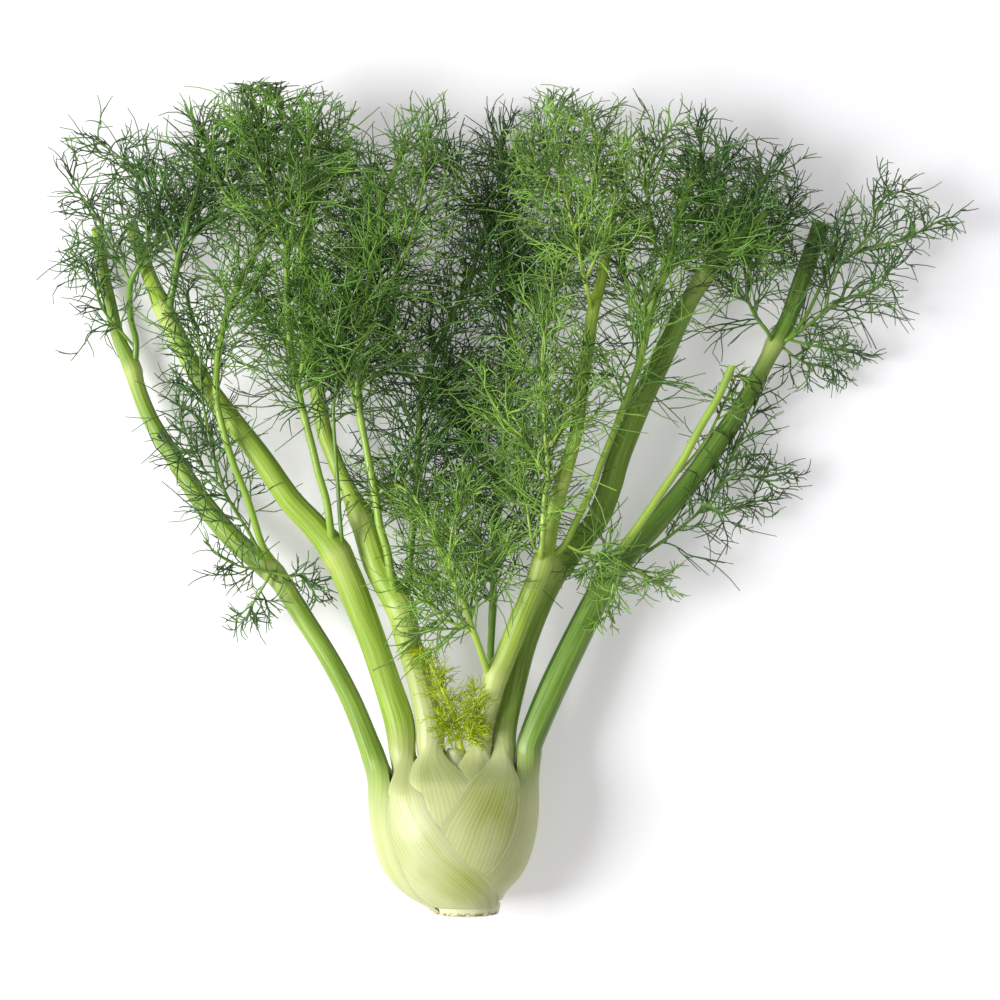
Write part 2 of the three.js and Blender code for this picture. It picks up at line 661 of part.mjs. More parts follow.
    limbs: [
      limb(1.6, 0.6, 0.18, 28, [
        [47, 146, 52], [46, 150, 62], [47, 157, 63], [48, 179, 64], [50, 191, 64], [48, 220, 63.5],
        [47, 250, 63], [48, 267, 62], [51, 283, 61], [53, 300, 60],
      ]),
      limb(0.9, 0.5, 0.1, 26, [
        [50, 191, 64], [45, 198, 65], [36, 213, 65], [31, 217, 64], [23, 227, 63], [16, 240, 62],
      ]),
      limb(0.8, 0.5, 0.2, 24, [
        [46, 150, 62], [42, 154, 62], [40, 165, 62], [38, 179, 61], [35, 193, 60],
      ]),
      limb(0.8, 0.5, 0.1, 26, [
        [49, 206, 63.7], [57, 217, 65], [64, 231, 66], [68, 248, 66], [70, 260, 65],
      ]),
    ],
  },
  {
    name: "frond_inner_right_top",
    color: 0x6f9f38,
    limbs: [
      limb(1.3, 0.5, 0.15, 30, [
        [74, 279, 52], [72, 289, 59], [70, 297, 60], [67, 311, 61], [64, 324, 61], [60, 341, 61],
        [57, 358, 61], [55, 374, 61], [53, 387, 61],
      ]),
      limb(0.9, 0.5, 0.1, 26, [
        [70, 297, 60], [76, 310, 62], [81, 322, 63], [85, 336, 63], [87, 352, 63], [91, 369, 62],
      ]),
      limb(0.9, 0.5, 0.1, 26, [
        [64, 324, 61], [71, 338, 63], [75, 355, 64], [76, 371, 64], [75, 382, 63],
      ]),
      limb(0.9, 0.5, 0.1, 24, [
        [60, 341, 61], [51, 349, 60], [43, 359, 59], [40, 367, 58],
      ]),
    ],
  },
  {
    name: "frond_inner_right_side",
    color: 0x578c31,
    limbs: [
      limb(1.9, 1.8, 0.4, 32, [
        [51, 148, 52], [59, 154, 51], [66, 168, 50], [74, 184, 49], [79, 198, 48.5], [89, 223, 47.5],
        [97, 245, 47], [102, 261, 46.5], [108, 289, 46], [112, 297, 46], [116, 305, 46], [118, 316, 46],
        [121, 330, 46], [128, 353, 46],
      ]),
      limb(0.8, 0.5, 0.15, 22, [
        [59, 155, 51], [67, 151, 52], [76, 148, 52], [85, 141, 50],
      ]),
      limb(0.9, 0.5, 0.1, 26, [
        [116, 305, 46], [126, 309, 47], [134, 312, 48], [145, 315, 49], [155, 315, 49], [167, 318, 48],
      ]),
      limb(0.9, 0.5, 0.1, 26, [
        [116, 305, 46], [109, 316, 48], [106, 330, 49], [104, 346, 50], [107, 363, 50], [113, 377, 50],
      ]),
      limb(0.9, 0.5, 0.1, 26, [
        [105, 275, 46.2], [96, 289, 46], [91, 305, 45], [92, 319, 44], [95, 333, 44],
      ]),
    ],
  },
  {
    name: "frond_second_right",
    color: 0x3f6b25,
    limbs: [
      limb(2.3, 2, 0.4, 28, [
        [138, 302, 31], [142, 310, 37], [150, 316, 39], [156, 323, 40], [170, 336, 40],
      ]),
      limb(1.3, 0.5, 0.1, 26, [
        [142, 310, 37], [138, 322, 40], [138, 336, 41], [137, 349, 41], [135, 363, 40], [133, 377, 39],
      ]),
      limb(1.1, 0.5, 0.1, 26, [
        [150, 316, 39], [146, 330, 43], [145, 344, 43.5], [144, 355, 43], [146, 371, 43],
      ]),
      limb(0.9, 0.5, 0.1, 24, [
        [156, 323, 40], [163, 341, 41], [166, 352, 41], [174, 359, 40],
      ]),
    ],
  },
  {
    name: "frond_outer_right_tip",
    color: 0x3f6b25,
    limbs: [
      limb(1.3, 0.5, 0.12, 30, [
        [179, 266, 12], [184, 268, 15], [197, 277, 17], [205, 284, 18], [214.5, 290, 19],
        [224, 293, 20], [232, 296, 20], [237, 303, 20],
      ]),
      limb(0.9, 0.5, 0.1, 24, [
        [205, 284, 18], [206, 294, 21], [209, 302, 24], [212, 310, 26], [219, 315, 27], [225.5, 322, 28],
        [230, 331, 28], [232, 340, 28], [237.5, 346, 27], [244, 349, 26],
      ]),
      limb(0.8, 0.5, 0.15, 20, [
        [219, 315, 27], [224, 317, 28], [237.5, 320, 28], [250, 324, 27], [258.5, 328.5, 26],
        [269, 334, 25],
      ]),
      limb(1.2, 0.6, 0.5, 20, [
        [184, 268, 15], [193, 279, 16], [201, 295, 16], [208, 312, 15], [212, 324, 14], [210.5, 332, 13],
      ]),
      limb(0.8, 0.5, 0.2, 18, [
        [184, 268, 15], [200, 264, 15], [221, 261, 13],
      ]),
      limb(0.8, 0.5, 0.2, 16, [
        [179, 266, 12], [190, 257, 14], [203, 253, 13], [212, 251, 12],
      ]),
    ],
  },
  {
    name: "frond_outer_right_inner",
    color: 0x3f6b25,
    limbs: [
      limb(1.1, 0.5, 0.15, 28, [
        [176, 265, 13], [172, 272, 21], [166, 279, 24], [162, 287, 25], [160, 295, 26], [161, 305, 27],
        [162, 316, 28], [165, 336, 29], [167, 355, 29],
      ]),
      limb(0.8, 0.5, 0.1, 26, [
        [162, 287, 25], [153, 297, 23], [147, 310, 19], [141, 324, 17], [138, 341, 16],
      ]),
      limb(0.8, 0.5, 0.1, 24, [
        [161, 305, 27], [170, 316, 26], [178, 330, 25], [183, 341, 24],
      ]),
    ],
  },
  {
    name: "frond_outer_right_cut",
    color: 0x6f9f38,
    limbs: [
      limb(2.4, 2.1, 2, 0, [
        [88.5, 143, 26], [88.5, 149, 37], [91.5, 153.5, 39], [101.5, 167.2, 41], [113, 184, 42.5],
        [123, 199.2, 44], [133.6, 219, 45], [142.8, 234.4, 45.5], [150.7, 252, 46],
      ]),
      limb(0.9, 0.6, 0.6, 14, [
        [117.7, 191, 43.2], [124.4, 196.4, 41.5], [136.6, 211.4, 40], [146.6, 231.3, 39.5],
        [153.1, 246.6, 39],
      ]),
      limb(0.8, 0.5, 0.15, 20, [
        [88.5, 149, 37], [82, 151, 39], [76, 148, 38], [70, 142, 37],
      ]),
      limb(0.8, 0.5, 0.15, 18, [
        [88.5, 147, 34], [97, 141, 34], [106, 136, 32], [115, 131, 28],
      ]),
      limb(0.8, 0.5, 0.25, 16, [
        [88.5, 149, 37], [87, 138, 39], [85, 126, 38], [82, 114, 35],
      ]),
    ],
  },
  {
    name: "frond_outer_right_side",
    color: 0x3f6b25,
    limbs: [
      limb(1, 0.5, 0.15, 24, [
        [97, 149, 24], [107.6, 151.8, 24], [122.9, 162.6, 22], [138, 175.5, 20], [144.3, 185.5, 19],
        [149.5, 196.2, 18], [156.5, 210, 17], [162, 221, 16], [168, 236, 15],
      ]),
      limb(0.8, 0.5, 0.2, 18, [
        [138, 175.5, 20], [147, 171.5, 19], [156, 175, 17], [171, 179, 15],
      ]),
      limb(0.8, 0.5, 0.2, 18, [
        [144.3, 185.5, 19], [155, 192, 19], [170, 192, 17], [182, 194, 15],
      ]),
    ],
  },
  {
    name: "young_leaves",
    color: 0xb4c23c,
    limbs: [
      limb(2, 0.9, 0.15, 10, [
        [3, 42, 36], [2, 50, 40], [0, 58, 43], [-4, 68, 45], [-9, 80, 46], [-15, 91, 46], [-21, 96, 45],
      ]),
      limb(1.2, 0.6, 0.1, 9, [
        [2, 50, 40], [7, 58, 45], [10, 67, 47], [10, 76, 47],
      ]),
      limb(1.1, 0.6, 0.1, 8, [
        [2, 48, 39], [9, 50, 45], [14, 56, 48],
      ]),
      limb(1.1, 0.6, 0.1, 8, [
        [2, 48, 39], [-4, 52, 45], [-8, 60, 48],
      ]),
    ],
  },
];
const SPRAY_PITCH = 9; // between the places where sprays can grow along a limb
const SPRAY_STRIDE = 6; // every sixth place is filled, counted from the tip
const SPRAY_RADIUS = 0.6;
const NEEDLE_RADIUS = 0.4;
const NEEDLE_LENGTH = [12, 19];
const LIMB_STEP = 30; // between the rings of a limb
const BRANCH_REACH = 6; // farthest that a branch's first point is moved onto its limb
const THICK_LIMB = 1.7; // a thicker limb has five sides, a thinner one three
const TABLE_CLEARANCE = 1.6; // nothing thin comes nearer to the table
const FROND_GAP = 0.3; // least distance between one frond and the next piece
const CLEAR_TRIES = 5; // ways tried to grow a spray clear of the other pieces

// A repeatable row of numbers from 0 to 1, for one place on one limb.
function draws(frond, limbIndex, place) {
  let state = (frond * 7919 + limbIndex * 104729 + place * 1299709 + 4241) % 2147483647;
  const next = () => {
    state = (state * 16807) % 2147483647;
    return state / 2147483647;
  };
  for (let i = 0; i < 4; i += 1) next();
  return next;
}

// Points at even steps along the smooth curve through a route.
function evenPoints(route, step) {
  const fine = [];
  const parts = 12;
  for (let i = 0; i <= (route.length - 1) * parts; i += 1) fine.push(vector(...along(route, i / parts)));
  const lengths = [0];
  for (let i = 1; i < fine.length; i += 1) lengths.push(lengths[i - 1] + fine[i].distanceTo(fine[i - 1]));
  const whole = lengths.at(-1);
  const at = (distance) => {
    let i = 1;
    while (i < fine.length - 1 && lengths[i] < distance) i += 1;
    const share = (distance - lengths[i - 1]) / (lengths[i] - lengths[i - 1]);
    return fine[i - 1].clone().lerp(fine[i], Math.min(Math.max(share, 0), 1));
  };
  const count = Math.max(Math.round(whole / step), 2);
  const points = [];
  for (let i = 0; i <= count; i += 1) points.push(at((whole * i) / count));
  return { points, at, whole };
}

// A tapered tube of few sides along points, flat at its base, pointed at its tip if the last radius is 0.
function tube(points, radii, sides) {
  const all = [];
  const triangles = [];
  let sideways = vector(0, 0, 1);
  const rings = points.map((point, i) => {
    const ahead = points[Math.min(i + 1, points.length - 1)]
      .clone()
      .sub(points[Math.max(i - 1, 0)])
      .normalize();
    if (i === 0 && Math.abs(ahead.z) > 0.9) sideways = vector(1, 0, 0);
    sideways = sideways.clone().addScaledVector(ahead, -sideways.dot(ahead)).normalize();
    const across = ahead.clone().cross(sideways);
    const start = all.length;
    const count = radii[i] > 0 ? sides : 1;
    for (let k = 0; k < count; k += 1) {
      const turn = (2 * Math.PI * k) / sides;
      all.push(
        point
          .clone()
          .addScaledVector(sideways, radii[i] * Math.cos(turn))
          .addScaledVector(across, radii[i] * Math.sin(turn)),
      );
    }
    return { start, count };
  });
  for (let r = 0; r + 1 < rings.length; r += 1) {
    const [a, b] = [rings[r], rings[r + 1]];
    for (let k = 0; k < sides; k += 1) {
      const next = (k + 1) % sides;
      if (b.count === 1) triangles.push([a.start + k, a.start + next, b.start]);
      else {
        triangles.push([a.start + k, a.start + next, b.start + next]);
        triangles.push([a.start + k, b.start + next, b.start + k]);
      }
    }
  }
  for (const [ring, flip] of [[rings[0], true], [rings.at(-1), false]]) {
    for (let k = 1; k + 1 < ring.count; k += 1) {
      const [p, q] = flip ? [k + 1, k] : [k, k + 1];
      triangles.push([ring.start, ring.start + p, ring.start + q]);
    }
  }
  return makeSolid(all, triangles);
}

// Rounded rods that stand for what is already there, so that needles keep clear of other pieces.
const rods = [];

function addRods(owner, points, radii) {
  for (let i = 0; i + 1 < points.length; i += 1) {
    const radius = Math.max(radii[i], radii[i + 1]);
    rods.push({ owner, line: new THREE.Line3(points[i].clone(), points[i + 1].clone()), radius });
  }
}

// Least distance between two straight lengths, looked for at even places along the first.
function between(line, other) {
  const place = new THREE.Vector3();
  const near = new THREE.Vector3();
  let least = Infinity;
  const parts = 8;
  for (let i = 0; i <= parts; i += 1) {
    line.at(i / parts, place);
    other.closestPointToPoint(place, true, near);
    least = Math.min(least, place.distanceTo(near));
  }
  return least;
}

function insideBulb(point) {
  const y = point.y;
  if (y > 50 || y < RINGS[0]) return false;
  const x = (point.x - profile(BULB, y, 1)) / (profile(BULB, y, 2) + 2);
  const z = (point.z - AXIS_HEIGHT) / (profile(BULB, y, 3) + 2);
  return Math.hypot(x, z) < 1;
}

function isClear(owner, points, radii) {
  for (let i = 0; i + 1 < points.length; i += 1) {
    const line = new THREE.Line3(points[i], points[i + 1]);
    const reachOut = Math.max(radii[i], radii[i + 1]) + FROND_GAP;
    const slack = 0.2;
    if (insideBulb(points[i]) || insideBulb(points[i + 1])) return false;
    for (const rod of rods) {
      if (rod.owner === owner) continue;
      if (between(line, rod.line) < rod.radius + reachOut + slack) return false;
    }
  }
  return true;
}

// The first of a few tries that is clear of the other pieces.
function firstClear(owner, radii, attempt) {
  for (let i = 0; i < CLEAR_TRIES; i += 1) {
    const points = attempt();
    if (isClear(owner, points, radii)) return points;
  }
  return null;
}

// A direction turned away from `ahead` by an angle, on the side given by a roll round it.
function turned(ahead, angle, roll) {
  const up = Math.abs(ahead.z) > 0.9 ? vector(1, 0, 0) : vector(0, 0, 1);
  const level = ahead.clone().cross(up).normalize();
  const lift = level.clone().cross(ahead);
  return ahead
    .clone()
    .multiplyScalar(Math.cos(angle))
    .addScaledVector(level, Math.sin(angle) * Math.cos(roll))
    .addScaledVector(lift, Math.sin(angle) * Math.sin(roll))
    .normalize();
}

const aboveTable = (point) => vector(point.x, point.y, Math.max(point.z, TABLE_CLEARANCE));

// The axis of the spray at one place of a limb, bending forward along the limb.
function sprayAxis(base, ahead, side, length, draw) {
  const angle = radians(lerp(34, 56, draw()));
  const roll = radians((side > 0 ? 0 : 180) + lerp(-50, 50, draw()));
  const size = length * lerp(0.7, 1.15, draw());
  const first = turned(ahead, angle, roll);
  const second = first.clone().addScaledVector(ahead, lerp(0.1, 0.5, draw())).normalize();
  const middle = aboveTable(base.clone().addScaledVector(first, size * 0.5));
  const tip = aboveTable(middle.clone().addScaledVector(second, size * 0.5));
  return [base, middle, tip];
}

// The places along a limb where sprays can grow, with the share of their full length left there.
function sprayPlaces(one) {
  const { at, whole } = evenPoints(one.route, LIMB_STEP);
  const places = [];
  for (let i = 0; one.from * whole + i * SPRAY_PITCH <= whole; i += 1) {
    const distance = one.from * whole + i * SPRAY_PITCH;
    const share = distance / whole;
    const base = at(distance);
    const ahead = at(Math.min(distance + 1, whole)).sub(at(Math.min(distance + 1, whole) - 1)).normalize();
    const length = one.spray * lerp(1.1, 0.55, share * share);
    places.push({ base, ahead, length, side: i % 2 === 0 ? 1 : -1, place: i });
  }
  return places.filter((_, i) => (places.length - 1 - i) % SPRAY_STRIDE === 0);
}

function needlesOf(axis, draw) {
  const needles = [];
  for (const [share, side] of [[0.3, 1], [0.5, -1], [0.75, 1]]) {
    const [from, to, f] = share < 0.5 ? [axis[0], axis[1], share * 2] : [axis[1], axis[2], share * 2 - 1];
    const base = from.clone().lerp(to, f);
    const ahead = to.clone().sub(from).normalize();
    const roll = radians((side > 0 ? 0 : 180) + lerp(-60, 60, draw()));
    const direction = turned(ahead, radians(lerp(30, 50, draw())), roll);
    const length = lerp(NEEDLE_LENGTH[0], NEEDLE_LENGTH[1], draw());
    needles.push([base, aboveTable(base.clone().addScaledVector(direction, length))]);
  }
  return needles;
}

// Where a branch leaves the nearest limb drawn before it, if there is one within reach.
function branchBase(point, rings) {
  let best = point;
  let least = BRANCH_REACH;
  for (const { points } of rings) {
    for (let i = 0; i + 1 < points.length; i += 1) {
      const near = new THREE.Vector3();
      new THREE.Line3(points[i], points[i + 1]).closestPointToPoint(point, true, near);
      if (near.distanceTo(point) < least) {
        least = near.distanceTo(point);
        best = near;
      }
    }
  }
  return best;
}

function limbTube(one, before) {
  const { points } = evenPoints(one.route, LIMB_STEP);
  points[0] = branchBase(points[0], before);
  const radii = points.map((_, i) => lerp(one.base, one.tip, i / (points.length - 1)));
  return { points, radii, sides: one.base > THICK_LIMB ? 5 : 3 };
}

function makeFronds() {
  LEAVES.forEach((leaf) => {
    const points = [];
    const radii = [];
    for (let t = stalkAtHeight(leaf, 40); t < leaf.stalk.length; t += 0.5) {
      const [x, y, z, thickness] = along(leaf.stalk, Math.min(t, leaf.stalk.length - 1));
      points.push(vector(x, y, z));
      radii.push(thickness / 2);
    }
    addRods(leaf.name, points, radii);
  });
  const solids = FRONDS.map((frond) => {
    const tubes = [];
    for (const one of frond.limbs) tubes.push(limbTube(one, tubes));
    for (const { points, radii } of tubes) addRods(frond.name, points, radii);
    return tubes.map(({ points, radii, sides }) => tube(points, radii, sides));
  });
  FRONDS.forEach((frond, f) => {
    frond.limbs.forEach((one, l) => {
      for (const { base, ahead, length, side, place } of sprayPlaces(one)) {
        const draw = draws(f, l, place);
        const radii = [SPRAY_RADIUS, SPRAY_RADIUS * 0.8, 0];
        const axis = firstClear(frond.name, radii, () => sprayAxis(base, ahead, side, length, draw));
        if (!axis) continue;
        addRods(frond.name, axis, radii);
        solids[f].push(tube(axis, radii, 3));
        for (const needle of needlesOf(axis, draw)) {
          if (!isClear(frond.name, needle, [NEEDLE_RADIUS, 0])) continue;
          addRods(frond.name, needle, [NEEDLE_RADIUS, 0]);
          solids[f].push(tube(needle, [NEEDLE_RADIUS, 0], 3));
        }
      }
    });
  });
  return solids.map((parts) => wasm.Manifold.union(parts));
}

// The assembled plant
const plant = new THREE.Group();
plant.name = "fennel_bulb";

function addPiece(name, solid, color, roughness) {
  const material = new THREE.MeshStandardMaterial({ color, roughness, metalness: 0 });
  const mesh = new THREE.Mesh(toGeometry(solid), material);
  mesh.name = name;
  plant.add(mesh);
}

// Each leaf is pressed flat where an outer one crowds it, and where it lies on the table.
const TABLE_BLOCK = 900;
const tableBlock = new THREE.BoxGeometry(TABLE_BLOCK, TABLE_BLOCK, TABLE_BLOCK);
tableBlock.translate(0, 0, -TABLE_BLOCK / 2);
const table = solidFromGeometry(tableBlock);
const leaves = LEAVES.map((leaf, i) => makeLeaf(leaf, i).subtract(table));
const crowding = leaves.map((solid) => solid.add(grown(solid, NECK_GAP)));

function clearOfLeaves(solid, count) {
  const cut = crowding.slice(0, count).reduce((rest, leaf) => rest.subtract(leaf), solid);
  return largestPiece(cut);
}

leaves.forEach((solid, i) => addPiece(LEAVES[i].name, clearOfLeaves(solid, i), LEAVES[i].color, 0.45));
const heart = clearOfLeaves(makeHeart(), LEAVES.length);
addPiece("root_end_and_heart", heart, 0xdfe3b4, 0.55);
makeFronds().forEach((solid, i) => {
  const cut = clearOfLeaves(solid, LEAVES.length).subtract(heart.add(grown(heart, NECK_GAP)));
  addPiece(FRONDS[i].name, largestPiece(cut), FRONDS[i].color, 0.6);
});

export default plant;
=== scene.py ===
# %% [markdown]
# A fennel bulb with its stalks and feathery leaves, lying on its broad side. This lesson dresses the plant's
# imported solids: each leaf, from the pale base that wraps the bulb up to the green stalk, gets a fine skin
# with ribs and veins, and each branch gets its thousands of threads. First comes the frame, which says
# where everything is. All tables here are in millimetres and become metres only where a mesh is made.

# %% Load the frame
import math

import bmesh
import bpy
import numpy as np
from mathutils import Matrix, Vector, noise


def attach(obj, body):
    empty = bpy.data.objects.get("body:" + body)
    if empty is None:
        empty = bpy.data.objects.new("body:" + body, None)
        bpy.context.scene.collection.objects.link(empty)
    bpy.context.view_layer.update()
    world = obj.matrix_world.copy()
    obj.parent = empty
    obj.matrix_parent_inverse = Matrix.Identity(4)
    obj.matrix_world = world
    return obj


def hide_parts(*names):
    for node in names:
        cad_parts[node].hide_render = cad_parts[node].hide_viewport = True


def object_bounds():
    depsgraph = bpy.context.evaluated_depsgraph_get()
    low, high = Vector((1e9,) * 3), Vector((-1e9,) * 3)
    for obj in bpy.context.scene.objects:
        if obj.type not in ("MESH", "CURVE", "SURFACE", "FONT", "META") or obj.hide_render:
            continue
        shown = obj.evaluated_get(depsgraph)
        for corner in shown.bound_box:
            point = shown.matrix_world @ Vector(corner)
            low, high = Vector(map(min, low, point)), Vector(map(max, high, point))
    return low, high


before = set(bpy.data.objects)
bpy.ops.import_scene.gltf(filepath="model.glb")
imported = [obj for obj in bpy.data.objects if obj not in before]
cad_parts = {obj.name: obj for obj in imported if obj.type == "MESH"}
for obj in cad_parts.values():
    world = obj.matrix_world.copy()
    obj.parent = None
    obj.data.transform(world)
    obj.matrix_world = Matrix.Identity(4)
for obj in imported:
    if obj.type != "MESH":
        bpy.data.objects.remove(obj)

cad_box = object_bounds()
MM = 0.001
print("solids in the frame:", len(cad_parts))

# %% [markdown]
# The camera looks straight down on the plant, as a shop picture does, and its long lens keeps the outer
# stalks from leaning away. The picture's frame is 550 mm wide at the height of the stalks. The floor is a
# plain white sheet that is so large that its edge never shows.

# %% Camera and floor
VIEW_CENTRE = (24.2, 178.75)
VIEW_WIDTH = 550
VIEW_LEVEL = 30
LENS = 100
SENSOR = 36
camera_data = bpy.data.cameras.new("overhead_camera")
camera_data.lens = LENS
camera_data.sensor_width = SENSOR
camera_data.clip_end = 20
camera = bpy.data.objects.new("overhead_camera", camera_data)
camera_height = VIEW_LEVEL + VIEW_WIDTH * LENS / SENSOR
camera.location = (VIEW_CENTRE[0] * MM, VIEW_CENTRE[1] * MM, camera_height * MM)
scene = bpy.context.scene
scene.collection.objects.link(camera)
scene.camera = camera

FLOOR_SIZE = 6
sheet = bmesh.new()
bmesh.ops.create_grid(sheet, x_segments=1, y_segments=1, size=FLOOR_SIZE / 2)
floor_mesh = bpy.data.meshes.new("white_table")
sheet.to_mesh(floor_mesh)
sheet.free()
floor = bpy.data.objects.new("white_table", floor_mesh)
scene.collection.objects.link(floor)
print("camera height, mm:", round(camera_height))

# %% [markdown]
# Shader maths reads best as sums. This small class wraps a node's output, so that an expression such as
# `1 - mask * 0.5` adds the Math nodes that it needs. A paint box holds one material and makes its nodes.

# %% Materials as expressions
class Value:
    """One number that varies over a surface."""

    def __init__(self, box, socket):
        self.box = box
        self.socket = socket

    def maths(self, operation, *others):
        made = self.box.node("ShaderNodeMath", {"operation": operation}, (self, *others))
        return Value(self.box, made.outputs[0])

    def __add__(self, other):
        return self.maths("ADD", other)

    def __mul__(self, other):
        return self.maths("MULTIPLY", other)

    def __sub__(self, other):
        return self.maths("SUBTRACT", other)

    def __rsub__(self, other):
        return self.maths("MULTIPLY", -1) + other

    __radd__ = __add__
    __rmul__ = __mul__

    def clamp(self):
        return Value(self.box, self.box.node("ShaderNodeClamp", {}, (self,)).outputs[0])

    def ramp(self, low, high):
        """0 below low, 1 above high and smooth between."""
        settings = {"interpolation_type": "SMOOTHSTEP"}
        made = self.box.node("ShaderNodeMapRange", settings, (self, low, high, 0, 1))
        return Value(self.box, made.outputs[0])


class PaintBox:
    """A material and short ways to add nodes to it."""

    def __init__(self, name):
        self.material = bpy.data.materials.new(name)
        self.material.use_nodes = True
        self.tree = self.material.node_tree
        self.surface = self.tree.nodes["Principled BSDF"]

    def node(self, kind, settings, inputs):
        made = self.tree.nodes.new(kind)
        for key, value in settings.items():
            setattr(made, key, value)
        pairs = inputs.items() if isinstance(inputs, dict) else enumerate(inputs)
        for key, value in pairs:
            self.connect(made.inputs[key], value)
        return made

    def connect(self, socket, value):
        if isinstance(value, Value):
            value = value.socket
        if isinstance(value, bpy.types.NodeSocket):
            self.tree.links.new(value, socket)
        elif isinstance(value, (tuple, list)) and len(socket.default_value) == 4:
            socket.default_value = (*value[:3], 1)
        else:
            socket.default_value = value

    def attribute(self, name):
        return Value(self, self.node("ShaderNodeAttribute", {"attribute_name": name}, ()).outputs["Fac"])

    def place(self):
        return self.node("ShaderNodeTexCoord", {}, ()).outputs["Object"]

    def vector(self, x, y, z=0.0):
        return self.node("ShaderNodeCombineXYZ", {}, (x, y, z)).outputs[0]

    def noise(self, where, scale, detail=2.0, roughness=0.5):
        inputs = {"Vector": where, "Scale": scale, "Detail": detail, "Roughness": roughness}
        return Value(self, self.node("ShaderNodeTexNoise", {}, inputs).outputs["Fac"])

    def mix(self, share, first, second):
        made = self.tree.nodes.new("ShaderNodeMix")
        made.data_type = "RGBA"
        self.connect(made.inputs["Factor"], share)
        self.connect(made.inputs[6], first)
        self.connect(made.inputs[7], second)
        return made.outputs[2]

    def bump(self, height, distance, strength=1.0):
        inputs = {"Height": height, "Distance": distance, "Strength": strength}
        return self.node("ShaderNodeBump", {}, inputs).outputs[0]

    def finish(self, **sockets):
        for key, value in sockets.items():
            self.connect(self.surface.inputs[key.replace("_", " ")], value)
        return self.material


print("paint box ready")

# %% [markdown]
# The white table is a matt sheet with a faint glow of its own, like a light table, so it is the brightest
# thing in the picture and the plant's shadow on it stays a soft grey.

# %% White table
FLOOR_GLOW = 0.31
white = PaintBox("white_table")
floor_mesh.materials.append(white.finish(
    Base_Color=(0.72, 0.71, 0.73), Roughness=0.7,
    Emission_Color=(1, 0.98, 1), Emission_Strength=FLOOR_GLOW,
))

# %% [markdown]
# Numbers that change along the plant, such as the bulb's width at each height, are kept in small tables
# with a smooth curve run through them. The shapes come from the same tables and the same curves as in the
# solids, so the skin lies where the solid does. Only the play between the leaves is smaller here, because
# on the real bulb they press together.

# %% Curves through tables
def lerp(a, b, t):
    return a + (b - a) * t


def smooth(x):
    x = min(max(x, 0), 1)
    return x * x * (3 - 2 * x)


def rise(y, span):
    return smooth((y - span[0]) / (span[1] - span[0]))


def profile(table, key, column=1):
    """The smooth curve through one column of a table, keyed by its first column."""
    last = len(table) - 1
    if key <= table[0][0]:
        return table[0][column]
    if key >= table[last][0]:
        return table[last][column]
    i = 0
    while key > table[i + 1][0]:
        i += 1

    def slope(k):
        before, after = table[max(k - 1, 0)], table[min(k + 1, last)]
        return (after[column] - before[column]) / (after[0] - before[0])

    width = table[i + 1][0] - table[i][0]
    t = (key - table[i][0]) / width
    climb = table[i + 1][column] - table[i][column]
    bend = t * (1 - t) * ((1 - t) * (slope(i) * width - climb) - t * (slope(i + 1) * width - climb))
    return table[i][column] + t * climb + bend


def along(stations, t):
    """A point on the smooth curve through given stations. t counts stations."""
    last = len(stations) - 1
    i = min(int(t), last - 1)
    f = t - i
    point = []
    for c in range(len(stations[0])):
        p1, p2 = stations[i][c], stations[i + 1][c]
        p0 = stations[i - 1][c] if i > 0 else 2 * p1 - p2
        p3 = stations[i + 2][c] if i + 2 <= last else 2 * p2 - p1
        rest = f * (2 * p0 - 5 * p1 + 4 * p2 - p3 + f * (3 * (p1 - p2) + p3 - p0))
        point.append(p1 + 0.5 * f * (p2 - p0 + rest))
    return point


# %% [markdown]
# The bulb is no solid ball. It is the thick bases of six leaves, nested like the layers of an onion, each
# one growing into its own stalk. The table of the whole bulb gives its middle, half width and half depth
# at each height. Each leaf then says how far round the bulb it reaches, and where its stalk runs.

# %% The bulb and its six leaves
AXIS_HEIGHT = 33.4
HEART_SHOULDER = 24
HEART_TOP = 44
CLEARANCE = 0.05
HEART_PLAY = 0.5
HEART_CORE = 2.5
HEART_TAPER = (0.72, 0.62)
BULB = [
    [-48, 5.7, 18.3, 16.5],
    [-44, 4, 20.8, 18.5],
    [-40, 1, 24.8, 21.5],
    [-36, -0.9, 28.8, 24.4],
    [-28, -1.1, 36.3, 28.6],
    [-19, -1.1, 41.3, 31.8],
    [-6, -1, 45.1, 34.4],
    [6, -1, 46.6, 34.6],
    [18, -1, 47, 32.6],
    [28, -1, 46.8, 28],
    [38, -1, 46.6, 20],
    [50, 1, 46, 13],
]
RINGS = [-48, -46, -43, -40, -37, -33, -28]
BASE_WALL, BELLY_WALL, BELLY_RISE, NECK_RISE = 2.2, 8, 28, (8, 36)
EDGE_WALL, NECK_EDGE, NECK_EDGE_RISE = 0.3, 1.6, (26, 46)
STALK_DEPTH = 0.95
EDGE_FADE = 14
NECK = 48
